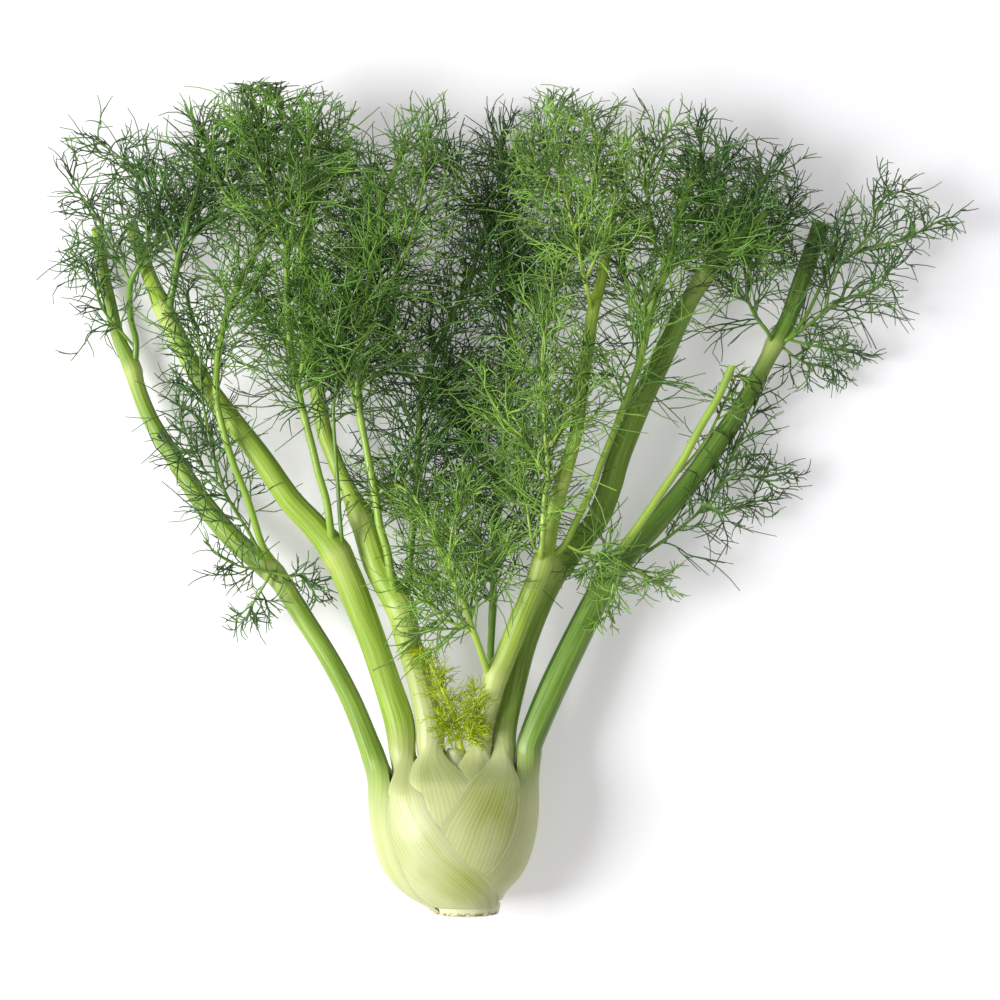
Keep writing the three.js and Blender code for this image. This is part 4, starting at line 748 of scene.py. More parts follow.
FRONDS = [
    ("frond_outer_left_tip", DARK_AND_SHADED, 1.1, 1, [
        limb(1.9, 1.4, 0.4, 34, [[-179, 252, 13], [-178, 267, 15], [-180, 278, 20], [-180, 289, 26],
            [-179, 297, 31], [-175, 305, 35], [-168, 316, 37], [-155, 326, 39], [-146, 333, 40],
            [-141, 341, 41]]),
        limb(0.9, 0.5, 0.1, 24, [[-179, 299, 31.5], [-185, 310, 32], [-191, 322, 33], [-197, 334, 34],
            [-204, 344, 35], [-210, 353, 36]]),
        limb(0.9, 0.5, 0.15, 26, [[-168, 316, 37], [-169, 328, 40], [-168, 341, 42], [-170, 350, 43],
            [-177, 360, 44], [-186, 368, 45], [-194, 373, 46]]),
        limb(0.8, 0.5, 0.15, 20, [[-179, 264, 14.4], [-186, 272, 16], [-193, 280, 18], [-198, 289, 20],
            [-200, 300, 22], [-207, 310, 23], [-213, 315, 24]]),
    ]),
    ("frond_outer_left_long", MID, 1.3, 1, [
        limb(2, 1.6, 0.42, 32, [[-101, 145, 26], [-106, 154, 36], [-110, 168, 42], [-113, 179, 47],
            [-117, 190, 51], [-121, 201, 55], [-127, 223, 58], [-129, 234, 57.5], [-129, 248, 56],
            [-128, 261, 54], [-123, 283, 51], [-113, 305, 50], [-96, 335, 50], [-81, 347, 50],
            [-64, 361, 50]]),
        limb(0.9, 0.5, 0.1, 30, [[-96, 335, 50], [-99, 346, 53], [-101, 360, 56], [-103, 374, 58],
            [-107, 388, 60], [-111, 398, 61]]),
        limb(0.9, 0.5, 0.2, 28, [[-96, 335, 50], [-107, 341, 52], [-116, 338, 52], [-123, 342, 53],
            [-129, 353, 55], [-133, 366, 57], [-137, 380, 58]]),
        limb(0.8, 0.5, 0.1, 26, [[-89, 341, 50], [-90, 355, 54], [-91, 371, 57], [-94, 388, 59],
            [-97, 397, 60]]),
        limb(0.8, 0.5, 0.1, 22, [[-72, 354, 50], [-70, 365, 52], [-67, 375, 53], [-62, 382, 54]]),
    ]),
    ("frond_outer_left_low", DARK_AND_SHADED, 1.0, 1, [
        limb(0.95, 0.5, 0.1, 26, [[-107, 148, 28], [-114, 161, 29], [-122, 174, 31], [-127, 184, 33],
            [-130, 195, 35], [-133, 206, 38], [-135, 220, 47], [-137, 234, 53.5], [-138, 248, 54],
            [-138, 255, 54], [-139, 267, 54], [-143, 279, 55], [-146, 289, 55.5]]),
        limb(0.8, 0.5, 0.1, 22, [[-127, 184, 33], [-138, 195, 30], [-145, 206, 29], [-150, 220, 29],
            [-153, 234, 28]]),
    ]),
    ("frond_outer_left_node", DARK_AND_SHADED, 1.2, 1, [
        limb(0.9, 0.5, 0.45, 18, [[-101, 139, 26], [-101, 139, 35.5], [-107, 129, 34], [-112, 121, 30],
            [-116, 113, 26]]),
        limb(0.8, 0.5, 0.2, 18, [[-101, 139, 35.5], [-111, 141, 37], [-120, 143, 36], [-130, 148, 35]]),
        limb(0.8, 0.5, 0.2, 18, [[-101, 139, 35.5], [-91, 137, 35], [-84, 137, 33], [-78, 128, 30]]),
    ]),
    ("frond_second_left_tip", DARK_AND_SHADED, 1.2, 1, [
        limb(2.2, 0.8, 0.25, 32, [[-157, 280, 37], [-155, 289, 44], [-153, 297, 46], [-151, 310, 47],
            [-147, 322, 47.5], [-145, 333, 48], [-141, 345, 49], [-138, 358, 50], [-134, 367, 51],
            [-127, 371, 52], [-119, 373, 52]]),
        limb(0.8, 0.5, 0.1, 26, [[-151, 310, 47], [-156, 322, 48], [-161, 336, 49], [-164, 349, 50],
            [-168, 361, 51]]),
        limb(0.8, 0.5, 0.1, 26, [[-147, 322, 47.5], [-139, 328, 45], [-130, 335, 43], [-121, 344, 42],
            [-117, 356, 42]]),
    ]),
    ("frond_second_left_front", MID, 1.3, 1, [
        limb(2.1, 1.9, 0.45, 30, [[-67, 152, 41], [-68, 165, 50.5], [-70, 179, 53], [-74, 193, 55],
            [-77, 206, 56], [-84, 234, 57.5], [-89, 261, 58], [-91, 289, 57], [-91, 315, 56]]),
        limb(1, 0.5, 0.1, 30, [[-91, 315, 56], [-95, 324, 58], [-99, 336, 60], [-102, 349, 62],
            [-106, 361, 63], [-109, 377, 64], [-112, 389, 64]]),
        limb(1.3, 0.5, 0.1, 28, [[-91, 315, 56], [-87, 330, 58], [-84, 344, 60], [-82, 360, 61],
            [-79, 374, 62], [-77, 385, 62]]),
        limb(1.4, 0.5, 0.1, 26, [[-85, 240, 58], [-82, 256, 58.5], [-82, 289, 58], [-83, 315, 57],
            [-79, 328, 57], [-74, 343, 56], [-67, 356, 56], [-62, 368, 56]]),
        limb(0.8, 0.5, 0.1, 24, [[-89, 258, 58], [-97, 270, 57.5], [-105, 283, 57], [-110, 296, 57.5]]),
    ]),
    ("frond_second_left_side", DARK_AND_SHADED, 1.4, 1.25, [
        limb(1.2, 0.5, 0.35, 28, [[-61, 150, 41], [-62, 160, 48], [-63, 173, 49.5], [-64, 190, 51],
            [-65, 206, 53], [-66, 226, 55], [-64, 242, 56], [-59, 272, 55], [-57, 294, 54], [-55, 316, 53],
            [-52, 336, 52], [-48, 355, 51]]),
    ]),
    ("frond_inner_left_front", MID, 1.4, 1.15, [
        limb(2.4, 1.2, 0.4, 32, [[-31, 123, 41], [-35, 138, 49.5], [-37, 151, 51], [-41, 165, 53],
            [-43, 179, 54], [-48, 206, 55.5], [-53, 235, 56], [-51, 256, 56], [-50, 272, 55.5],
            [-47, 294, 55], [-43, 316, 54], [-40, 338, 53], [-31, 363, 51], [-27, 373, 50]]),
        limb(0.9, 0.5, 0.1, 24, [[-53, 235, 56], [-59, 248, 59], [-65, 261, 61], [-69, 278, 62],
            [-72, 293, 63]]),
        limb(0.9, 0.5, 0.1, 26, [[-50, 272, 55.5], [-39, 289, 57], [-31, 302, 58], [-24, 319, 59],
            [-20, 336, 60], [-16, 358, 60], [-15, 374, 60]]),
    ]),
    ("frond_inner_left_back", DARK_AND_SHADED, 1.4, 1.3, [
        limb(2.2, 1.2, 0.2, 32, [[-28, 120, 41], [-26, 135, 32], [-25, 151, 31], [-22, 179, 30],
            [-21, 206, 29], [-19, 238, 28], [-14, 252, 27], [-10, 263, 26], [-3, 279, 25], [3, 292, 24],
            [9, 305, 23], [13, 319, 22], [19, 332, 21]]),
        limb(0.9, 0.5, 0.1, 26, [[-19, 238, 28], [-28, 253, 30], [-35, 270, 31], [-42, 289, 32],
            [-46, 311, 33], [-47, 330, 34]]),
        limb(0.9, 0.5, 0.1, 26, [[19, 332, 21], [12, 344, 23], [3, 355, 24], [-5, 365, 25]]),
        limb(0.9, 0.5, 0.1, 26, [[3, 292, 24], [16, 298, 28], [29, 306, 31], [40, 315, 33]]),
    ]),
    ("frond_centre_back", DARK_AND_SHADED, 1.4, 1.25, [
        limb(2, 1.8, 0.14, 32, [[20, 82, 42], [19, 94, 32], [20, 113, 25], [21, 140, 20], [23, 168, 18],
            [24, 190, 17], [30, 234, 15], [32, 256, 15], [30, 272, 14.5], [29, 300, 14], [29, 328, 14],
            [26, 348, 14], [25, 372, 14]]),
        limb(1, 0.5, 0.1, 26, [[29, 328, 14], [35, 341, 16], [40, 355, 18], [42, 366, 20], [49, 376, 22],
            [60, 381, 23]]),
        limb(0.9, 0.5, 0.1, 28, [[30, 272, 14.5], [41, 286, 17], [49, 300, 19], [57, 314, 20],
            [65, 326, 21]]),
        limb(0.9, 0.5, 0.1, 28, [[24, 190, 17], [13, 204, 19], [3, 220, 20], [-2, 237, 19], [-3, 249, 18]]),
    ]),
    ("frond_inner_right_low", BRIGHT_AND_LIT, 1.5, 1.2, [
        limb(2, 0.6, 0.2, 26, [[18, 83, 44], [14, 96, 53], [10, 107, 56], [6, 119, 58], [3, 126, 59],
            [-7, 148, 59], [-14, 165, 58], [-22, 180, 56], [-28, 185, 53], [-33, 187, 49], [-38, 182, 45]]),
        limb(0.8, 0.5, 0.1, 22, [[3, 126, 59], [8, 135, 61], [12, 143, 62], [19, 148, 62], [23, 153, 61]]),
        limb(0.8, 0.5, 0.1, 22, [[-3, 139, 59], [-3, 148, 62], [-2, 160, 63], [1, 173, 63], [3, 184, 62]]),
        limb(0.8, 0.5, 0.1, 22, [[10, 107, 56], [-1, 112, 56], [-10, 118, 55], [-16, 127, 54]]),
    ]),
    ("frond_inner_right_front", BRIGHT_AND_LIT, 1.4, 1, [
        limb(1.6, 0.6, 0.18, 28, [[47, 146, 52], [46, 150, 62], [47, 157, 63], [48, 179, 64], [50, 191, 64],
            [48, 220, 63.5], [47, 250, 63], [48, 267, 62], [51, 283, 61], [53, 300, 60]]),
        limb(0.9, 0.5, 0.1, 26, [[50, 191, 64], [45, 198, 65], [36, 213, 65], [31, 217, 64], [23, 227, 63],
            [16, 240, 62]]),
        limb(0.8, 0.5, 0.2, 24, [[46, 150, 62], [42, 154, 62], [40, 165, 62], [38, 179, 61], [35, 193, 60]]),
        limb(0.8, 0.5, 0.1, 26, [[49, 206, 63.7], [57, 217, 65], [64, 231, 66], [68, 248, 66],
            [70, 260, 65]]),
    ]),
    ("frond_inner_right_top", BRIGHT_AND_LIT, 1.3, 1, [
        limb(1.3, 0.5, 0.15, 30, [[74, 279, 52], [72, 289, 59], [70, 297, 60], [67, 311, 61], [64, 324, 61],
            [60, 341, 61], [57, 358, 61], [55, 374, 61], [53, 387, 61]]),
        limb(0.9, 0.5, 0.1, 26, [[70, 297, 60], [76, 310, 62], [81, 322, 63], [85, 336, 63], [87, 352, 63],
            [91, 369, 62]]),
        limb(0.9, 0.5, 0.1, 26, [[64, 324, 61], [71, 338, 63], [75, 355, 64], [76, 371, 64], [75, 382, 63]]),
        limb(0.9, 0.5, 0.1, 24, [[60, 341, 61], [51, 349, 60], [43, 359, 59], [40, 367, 58]]),
    ]),
    ("frond_inner_right_side", MID, 1.3, 1.1, [
        limb(1.9, 1.8, 0.4, 32, [[51, 148, 52], [59, 154, 51], [66, 168, 50], [74, 184, 49], [79, 198, 48.5],
            [89, 223, 47.5], [97, 245, 47], [102, 261, 46.5], [108, 289, 46], [112, 297, 46], [116, 305, 46],
            [118, 316, 46], [121, 330, 46], [128, 353, 46]]),
        limb(0.8, 0.5, 0.15, 22, [[59, 155, 51], [67, 151, 52], [76, 148, 52], [85, 141, 50]]),
        limb(0.9, 0.5, 0.1, 26, [[116, 305, 46], [126, 309, 47], [134, 312, 48], [145, 315, 49],
            [155, 315, 49], [167, 318, 48]]),
        limb(0.9, 0.5, 0.1, 26, [[116, 305, 46], [109, 316, 48], [106, 330, 49], [104, 346, 50],
            [107, 363, 50], [113, 377, 50]]),
        limb(0.9, 0.5, 0.1, 26, [[105, 275, 46.2], [96, 289, 46], [91, 305, 45], [92, 319, 44],
            [95, 333, 44]]),
    ]),
    ("frond_second_right", DARK_AND_SHADED, 1.3, 1, [
        limb(2.3, 2, 0.4, 28, [[138, 302, 31], [142, 310, 37], [150, 316, 39], [156, 323, 40],
            [170, 336, 40]]),
        limb(1.3, 0.5, 0.1, 26, [[142, 310, 37], [138, 322, 40], [138, 336, 41], [137, 349, 41],
            [135, 363, 40], [133, 377, 39]]),
        limb(1.1, 0.5, 0.1, 26, [[150, 316, 39], [146, 330, 43], [145, 344, 43.5], [144, 355, 43],
            [146, 371, 43]]),
        limb(0.9, 0.5, 0.1, 24, [[156, 323, 40], [163, 341, 41], [166, 352, 41], [174, 359, 40]]),
    ]),
    ("frond_outer_right_tip", DARK_AND_SHADED, 1, 1, [
        limb(1.3, 0.5, 0.12, 30, [[179, 266, 12], [184, 268, 15], [197, 277, 17], [205, 284, 18],
            [214.5, 290, 19], [224, 293, 20], [232, 296, 20], [237, 303, 20]]),
        limb(0.9, 0.5, 0.1, 24, [[205, 284, 18], [206, 294, 21], [209, 302, 24], [212, 310, 26],
            [219, 315, 27], [225.5, 322, 28], [230, 331, 28], [232, 340, 28], [237.5, 346, 27],
            [244, 349, 26]]),
        limb(0.8, 0.5, 0.15, 20, [[219, 315, 27], [224, 317, 28], [237.5, 320, 28], [250, 324, 27],
            [258.5, 328.5, 26], [269, 334, 25]]),
        limb(1.2, 0.6, 0.5, 20, [[184, 268, 15], [193, 279, 16], [201, 295, 16], [208, 312, 15],
            [212, 324, 14], [210.5, 332, 13]]),
        limb(0.8, 0.5, 0.2, 18, [[184, 268, 15], [200, 264, 15], [221, 261, 13]]),
        limb(0.8, 0.5, 0.2, 16, [[179, 266, 12], [190, 257, 14], [203, 253, 13], [212, 251, 12]]),
    ]),
    ("frond_outer_right_inner", DARK_AND_SHADED, 1.3, 1, [
        limb(1.1, 0.5, 0.15, 28, [[176, 265, 13], [172, 272, 21], [166, 279, 24], [162, 287, 25],
            [160, 295, 26], [161, 305, 27], [162, 316, 28], [165, 336, 29], [167, 355, 29]]),
        limb(0.8, 0.5, 0.1, 26, [[162, 287, 25], [153, 297, 23], [147, 310, 19], [141, 324, 17],
            [138, 341, 16]]),
        limb(0.8, 0.5, 0.1, 24, [[161, 305, 27], [170, 316, 26], [178, 330, 25], [183, 341, 24]]),
    ]),
    ("frond_outer_right_cut", BRIGHT_AND_LIT, 1, 1, [
        limb(2.4, 2.1, 2, 0, [[88.5, 143, 26], [88.5, 149, 37], [91.5, 153.5, 39], [101.5, 167.2, 41],
            [113, 184, 42.5], [123, 199.2, 44], [133.6, 219, 45], [142.8, 234.4, 45.5], [150.7, 252, 46]]),
        limb(0.9, 0.6, 0.6, 14, [[117.7, 191, 43.2], [124.4, 196.4, 41.5], [136.6, 211.4, 40],
            [146.6, 231.3, 39.5], [153.1, 246.6, 39]]),
        limb(0.8, 0.5, 0.15, 20, [[88.5, 149, 37], [82, 151, 39], [76, 148, 38], [70, 142, 37]]),
        limb(0.8, 0.5, 0.15, 18, [[88.5, 147, 34], [97, 141, 34], [106, 136, 32], [115, 131, 28]]),
        limb(0.8, 0.5, 0.25, 16, [[88.5, 149, 37], [87, 138, 39], [85, 126, 38], [82, 114, 35]]),
    ]),
    ("frond_outer_right_side", DARK_AND_SHADED, 1, 1, [
        limb(1, 0.5, 0.15, 24, [[97, 149, 24], [107.6, 151.8, 24], [122.9, 162.6, 22], [138, 175.5, 20],
            [144.3, 185.5, 19], [149.5, 196.2, 18], [156.5, 210, 17], [162, 221, 16], [168, 236, 15]]),
        limb(0.8, 0.5, 0.2, 18, [[138, 175.5, 20], [147, 171.5, 19], [156, 175, 17], [171, 179, 15]]),
        limb(0.8, 0.5, 0.2, 18, [[144.3, 185.5, 19], [155, 192, 19], [170, 192, 17], [182, 194, 15]]),
    ]),
    ("young_leaves", YOUNG, 1.8, 1.15, [
        limb(2, 0.9, 0.15, 10, [[3, 42, 36], [2, 50, 40], [0, 58, 43], [-4, 68, 45], [-9, 80, 46],
            [-15, 91, 46], [-21, 96, 45]]),
        limb(1.2, 0.6, 0.1, 9, [[2, 50, 40], [7, 58, 45], [10, 67, 47], [10, 76, 47]]),
        limb(1.1, 0.6, 0.1, 8, [[2, 48, 39], [9, 50, 45], [14, 56, 48]]),
        limb(1.1, 0.6, 0.1, 8, [[2, 48, 39], [-4, 52, 45], [-8, 60, 48]]),
    ]),
]
print("limbs:", sum(len(frond[-1]) for frond in FRONDS))

# %% [markdown]
# The threads grow by rules and not by hand, so a repeatable row of numbers decides each angle and length.
# The row depends on the frond, the limb and the place along it, so a spray keeps its shape when another
# one changes. The limbs are the solids' own. The sprays on them are finer and stand far closer than the
# few coarse ones of the solids, and only fill the same space.

# %% Repeatable growth
SPRAY_PITCH = 7.5
TABLE_CLEARANCE = 1.6
CURL = 1.15


def draws(frond, limb_index, place):
    state = (frond * 7919 + limb_index * 104729 + place * 1299709 + 4241) % 2147483647

    def draw(low=0.0, high=1.0):
        nonlocal state
        state = state * 16807 % 2147483647
        return low + (high - low) * state / 2147483647

    for _ in range(4):
        draw()
    return draw


def turned(ahead, angle, roll):
    """A direction turned away from `ahead` by an angle, on the side given by a roll round it."""
    up = Vector((1, 0, 0)) if abs(ahead.z) > 0.9 else Vector((0, 0, 1))
    level = ahead.cross(up).normalized()
    lift = level.cross(ahead)
    side = level * math.cos(roll) + lift * math.sin(roll)
    return (ahead * math.cos(angle) + side * math.sin(angle)).normalized()


def above_table(point):
    return Vector((point.x, point.y, max(point.z, TABLE_CLEARANCE)))


class Route:
    """A limb's smooth curve, measured so that places on it can be asked for in millimetres."""

    def __init__(self, stations, parts=12):
        count = (len(stations) - 1) * parts
        self.fine = [Vector(along(stations, i / parts)) for i in range(count + 1)]
        steps = [(b - a).length for a, b in zip(self.fine, self.fine[1:])]
        self.lengths = np.concatenate([[0], np.cumsum(steps)])
        self.whole = float(self.lengths[-1])

    def at(self, distance):
        i = int(np.clip(np.searchsorted(self.lengths, distance), 1, len(self.fine) - 1))
        share = (distance - self.lengths[i - 1]) / (self.lengths[i] - self.lengths[i - 1])
        return self.fine[i - 1].lerp(self.fine[i], min(max(share, 0), 1))

    def ahead(self, distance):
        high = min(distance + 1, self.whole)
        return (self.at(high) - self.at(high - 1)).normalized()


def curled(base, direction, ahead, length, draw, parts):
    """Points of a thread that bends to any side and often back again, as soft threads do."""
    pull = ahead * draw(-0.4, 0.9) + Vector((draw(-1, 1), draw(-1, 1), draw(-0.7, 0.7))) * CURL
    swing = Vector((draw(-1, 1), draw(-1, 1), draw(-0.7, 0.7))) * CURL
    points = [above_table(base)]
    for i in range(parts):
        direction = (direction + (pull + swing * (2 * (i + 0.5) / parts - 1)) / parts).normalized()
        points.append(above_table(points[-1] + direction * (length / parts)))
    return points


# %% [markdown]
# A strand is a list of points with a radius at each, and two numbers for the paint: its own tone, and how
# fresh and pale it is at each point. Threads are about 0.7 mm thick where they begin and 0.4 mm at the tip.

# %% Sprays, twigs and threads
SPRAY_RADIUS = (0.50, 0.38)
TWIG_RADIUS = (0.40, 0.28)
THREAD_RADIUS = (0.35, 0.20)
TWIG_PITCH = 7.5
TWO_FORKS = 0.5
FORK_SHARE = 0.2


def strand(points, radii, tone, fresh):
    count = len(points) - 1
    return dict(
        points=points,
        radii=[lerp(radii[0], radii[1], i / count) for i in range(count + 1)],
        tone=tone,
        fresh=[lerp(fresh[0], fresh[1], i / count) for i in range(count + 1)],
    )


def on_line(points, share):
    """Place and direction at a share of a short line of points."""
    f = share * (len(points) - 1)
    i = min(int(f), len(points) - 2)
    return points[i].lerp(points[i + 1], f - i), (points[i + 1] - points[i]).normalized()


def grow_spray(base, ahead, side, length, draw, fine=1.0):
    """A spray: its axis, the twigs on it and the forked threads on them."""
    angle = math.radians(draw(24, 60))
    roll = math.radians((0 if side > 0 else 180) + draw(-50, 50))
    size = length * draw(0.45, 0.95)
    axis = curled(base, turned(ahead, angle, roll), ahead, size, draw, 4)
    tone = draw()
    girth = fine ** 0.5
    strands = [strand(axis, [r * girth for r in SPRAY_RADIUS], tone, (0.35, 0.2))]
    count = max(round(size / (TWIG_PITCH * fine)), 2)
    for k in range(count + 1):
        share = lerp(0.15, 1, k / count)
        place, way = on_line(axis, share)
        turn = 0 if k % 2 else 180
        spread_angle = math.radians(draw(22, 66)) if k < count else math.radians(draw(4, 20))
        twig_length = length * lerp(0.9, 0.65, share) * draw(0.5, 1.4)
        direction = turned(way, spread_angle, math.radians(turn + draw(-65, 65)))
        twig = curled(place, direction, way, twig_length, draw, 4)
        tint = tone * 0.35 + draw(0, 1) ** 1.8 * 0.65
        strands.append(strand(twig, [r * girth for r in TWIG_RADIUS], tint, (0.2, 0.05)))
        forks = (draw(0.1, 0.34), draw(0.4, 0.66)) if draw() < TWO_FORKS else (draw(0.16, 0.5),)
        for j, where in enumerate(forks):
            place_on, forward = on_line(twig, where)
            flip = 0 if (j + k) % 2 else 180
            fork = turned(forward, math.radians(draw(18, 56)), math.radians(flip + draw(-90, 90)))
            thread_length = length * draw(0.35, 1.1)
            thread = curled(place_on, fork, forward, thread_length, draw, 3)
            strands.append(strand(thread, [r * girth for r in THREAD_RADIUS], tint, (0.1, 0.2)))
            if draw() < FORK_SHARE:
                place_on, forward = on_line(thread, draw(0.15, 0.5))
                fork = turned(forward, math.radians(draw(18, 48)), math.radians(draw(0, 360)))
                tip = curled(place_on, fork, forward, thread_length * draw(0.5, 0.9), draw, 3)
                strands.append(strand(tip, [r * girth for r in THREAD_RADIUS], tint, (0.1, 0.2)))
    return strands


# %% [markdown]
# A limb is a smooth tapered stem. It swells a little where its first spray leaves it, and ends either in a
# soft tip or, where it is thick, in a knife cut.

# %% Limbs
LIMB_PITCH = 2.5
JOINT_SWELL = 0.16
JOINT_LENGTH = 2.6
LATE_LENGTH = 0.85
TIP_SPRAY = 0.6
LATE_ROW, TIP_ROW = 1000, 5000


def grow_limb(one, route, slim):
    count = max(round(route.whole / LIMB_PITCH), 4)
    points, radii, fresh = [], [], []
    start = one["start"] * route.whole
    for i in range(count + 1):
        distance = route.whole * i / count
        radius = lerp(one["base"], one["tip"], i / count) * slim
        joint = math.exp(-(((distance - start) / JOINT_LENGTH) ** 2)) if one["start"] < 1 else 0
        points.append(above_table(route.at(distance)))
        radii.append(radius * (1 + JOINT_SWELL * joint))
        fresh.append(0.45 + 0.35 * joint + 0.15 * (1 - i / count))
    return dict(points=points, radii=radii, tone=0.5, fresh=fresh)


def grow_frond(index, limbs, crowd, reach_share, fine=1.0):
    stems, strands = [], []
    for l, one in enumerate(limbs):
        route = Route(one["route"])
        stems.append(grow_limb(one, route, fine ** 0.5))
        pitch = SPRAY_PITCH * fine / 2 / crowd
        first = one["start"] * route.whole
        count = int((route.whole - first) / pitch) + 1 if one["spray"] else 0
        for i in range(count):
            distance = first + i * pitch
            share = distance / route.whole
            length = one["spray"] * reach_share * lerp(1.1, 0.55, share * share)
            even, late = divmod(i, 2)
            side = (1 if even % 2 == 0 else -1) * (-1 if late else 1)
            draw = draws(index, l, even + LATE_ROW if late else even)
            if late:
                length *= LATE_LENGTH
            ahead = route.ahead(distance)
            strands += grow_spray(route.at(distance), ahead, side, length, draw, fine)
        if one["spray"]:
            draw = draws(index, l, TIP_ROW)
            tip, ahead = route.at(route.whole), route.ahead(route.whole)
            strands += grow_spray(tip, ahead, 1, one["spray"] * TIP_SPRAY, draw, fine)
    return stems, strands


# %% [markdown]
# A thread that meets a stalk bends round it. All points of a frond's threads are held against the stalks
# at once: a point inside one is moved straight out to its face. Threads that reach far past the packed
# solids are pressed back a little, and none goes into the table.

# %% Threads clear of the stalks
ROD_START_HEIGHT, ROD_STEP = 44, 0.25
KEEP_OFF = 0.5
# How far inside the solids' box the pressing begins, and how far a thread may then still go.
SIDE_LIMIT, END_LIMIT, TOP_LIMIT = (2, 10), (22, 14), (6, 7)


def stalk_rods():
    starts, ends, radii = [], [], []
    for leaf in LEAVES:
        t = stalk_at_height(leaf, ROD_START_HEIGHT)
        last = len(leaf["stalk"]) - 1
        count = int((last - t) / ROD_STEP) + 2
        rows = [along(leaf["stalk"], min(t + ROD_STEP * k, last)) for k in range(count)]
        for a, b in zip(rows, rows[1:]):
            starts.append(a[:3])
            ends.append(b[:3])
            radii.append((a[3] + b[3]) / 4)
    return np.array(starts), np.array(ends), np.array(radii)


ROD_START, ROD_END, ROD_RADIUS = stalk_rods()


def hold_off(points):
    """Moves points that lie in a stalk out to its face."""
    for a, b, radius in zip(ROD_START, ROD_END, ROD_RADIUS):
        line = b - a
        length = float(line @ line)
        if length < 1e-6:
            continue
        share = np.clip((points - a) @ line / length, 0, 1)
        away = points - (a + share[:, None] * line)
        far = np.linalg.norm(away, axis=1)
        inside = far < radius + KEEP_OFF
        if inside.any():
            push = (radius + KEEP_OFF) / np.maximum(far[inside], 0.05)
            points[inside] += away[inside] * (push - 1)[:, None]
    return points


def soft_limit(values, limit, give):
    """Presses back values past a limit, so that none passes it by more than `give`."""
    return np.where(values > limit, limit + give * np.tanh((values - limit) / give), values)


def hold_strands_off(strands):
    points = np.array([p[:] for one in strands for p in one["points"]])
    points = hold_off(points)
    points[:, 0] = soft_limit(points[:, 0], cad_box[1].x / MM - SIDE_LIMIT[0], SIDE_LIMIT[1])
    points[:, 0] = -soft_limit(-points[:, 0], -cad_box[0].x / MM - SIDE_LIMIT[0], SIDE_LIMIT[1])
    points[:, 1] = soft_limit(points[:, 1], cad_box[1].y / MM - END_LIMIT[0], END_LIMIT[1])
    points[:, 2] = soft_limit(points[:, 2], cad_box[1].z / MM - TOP_LIMIT[0], TOP_LIMIT[1])
    points[:, 2] = np.maximum(points[:, 2], TABLE_CLEARANCE)
    k = 0
    for one in strands:
        count = len(one["points"])
        one["points"] = points[k:k + count]
        k += count


# %% [markdown]
# Blender's curves make the tubes: a curve with a round bevel gives a tube with a radius at each of its
# points and closed ends, and it becomes a mesh at once. The mesh lists the end caps first, from the last
# curve to the first, and then the tubes in order, so the paint's numbers are laid out in the same way.

# %% Tubes from strands
def tubes(strands, resolution):
    """Mesh of round tubes along strands, with tone and fresh at every point."""
    curve = bpy.data.curves.new("strands", "CURVE")
    curve.dimensions = "3D"
    curve.bevel_depth = MM
    curve.bevel_resolution = resolution
    curve.use_fill_caps = True
    sides = 4 + 2 * resolution
    caps, body = [], []
    for one in strands:
        points = np.array([p[:] for p in one["points"]]) * MM
        spline = curve.splines.new("POLY")
        spline.points.add(len(points) - 1)
        spline.points.foreach_set("co", np.hstack([points, np.ones((len(points), 1))]).ravel())
        spline.points.foreach_set("radius", one["radii"])
        rows = [(one["tone"], fresh, radius) for fresh, radius in zip(one["fresh"], one["radii"])]
        body += rows
        caps.append([rows[-1], rows[0]])
    carrier = bpy.data.objects.new("strands", curve)
    scene.collection.objects.link(carrier)
    graph = bpy.context.evaluated_depsgraph_get()
    mesh = bpy.data.meshes.new_from_object(carrier.evaluated_get(graph))
    bpy.data.objects.remove(carrier)
    bpy.data.curves.remove(curve)
    rows = [row for pair in reversed(caps) for row in pair] + body
    values = np.repeat(np.array(rows), sides, axis=0)
    assert len(values) == len(mesh.vertices), (len(values), len(mesh.vertices))
    for column, name in enumerate(("tone", "fresh", "girth")):
        layer = mesh.attributes.new(name, "FLOAT", "POINT")
        layer.data.foreach_set("value", values[:, column].astype(np.float32))
    return mesh


def join_meshes(name, meshes):
    bm = bmesh.new()
    for mesh in meshes:
        bm.from_mesh(mesh)
        bpy.data.meshes.remove(mesh)
    whole = bpy.data.meshes.new(name)
    bm.to_mesh(whole)
    bm.free()
    return whole


# %% [markdown]
# Each frond is grown, held off the stalks and joined into one mesh, which takes the place of its node. The
# young leaves at the mouth of the bulb grow by the same rules, with their sprays and twigs half as far apart.

# %% Grow all fronds
SLOTS = {DARK_AND_SHADED: "frond_dark", MID: "frond_green", BRIGHT_AND_LIT: "frond_bright", YOUNG: "young_leaves"}
frond_pieces = {}
for index, (name, shade, crowd, reach_share, limbs) in enumerate(FRONDS):
    fine = 0.5 if shade == YOUNG else 1.0
    stems, strands = grow_frond(index, limbs, crowd, reach_share, fine)
    hold_strands_off(strands)
    mesh = join_meshes(name + "_threads", [tubes(stems, 3), tubes(strands, 0)])
    frond_pieces[name] = (place_piece(name + "_threads", mesh, SLOTS[shade], name), shade)
    print(name, "strands:", len(strands), "faces:", len(mesh.polygons))

# %% [markdown]
# Leaf flesh: the bulb is creamy white with a green flush along its veins, and turns to a deeper green up
# the stalk. Each vein shows as a thin pale line with a darker furrow beside it. Margins are almost white,
# knots are yellowish with small brown marks, and cut ends are pale and a little brown from drying.

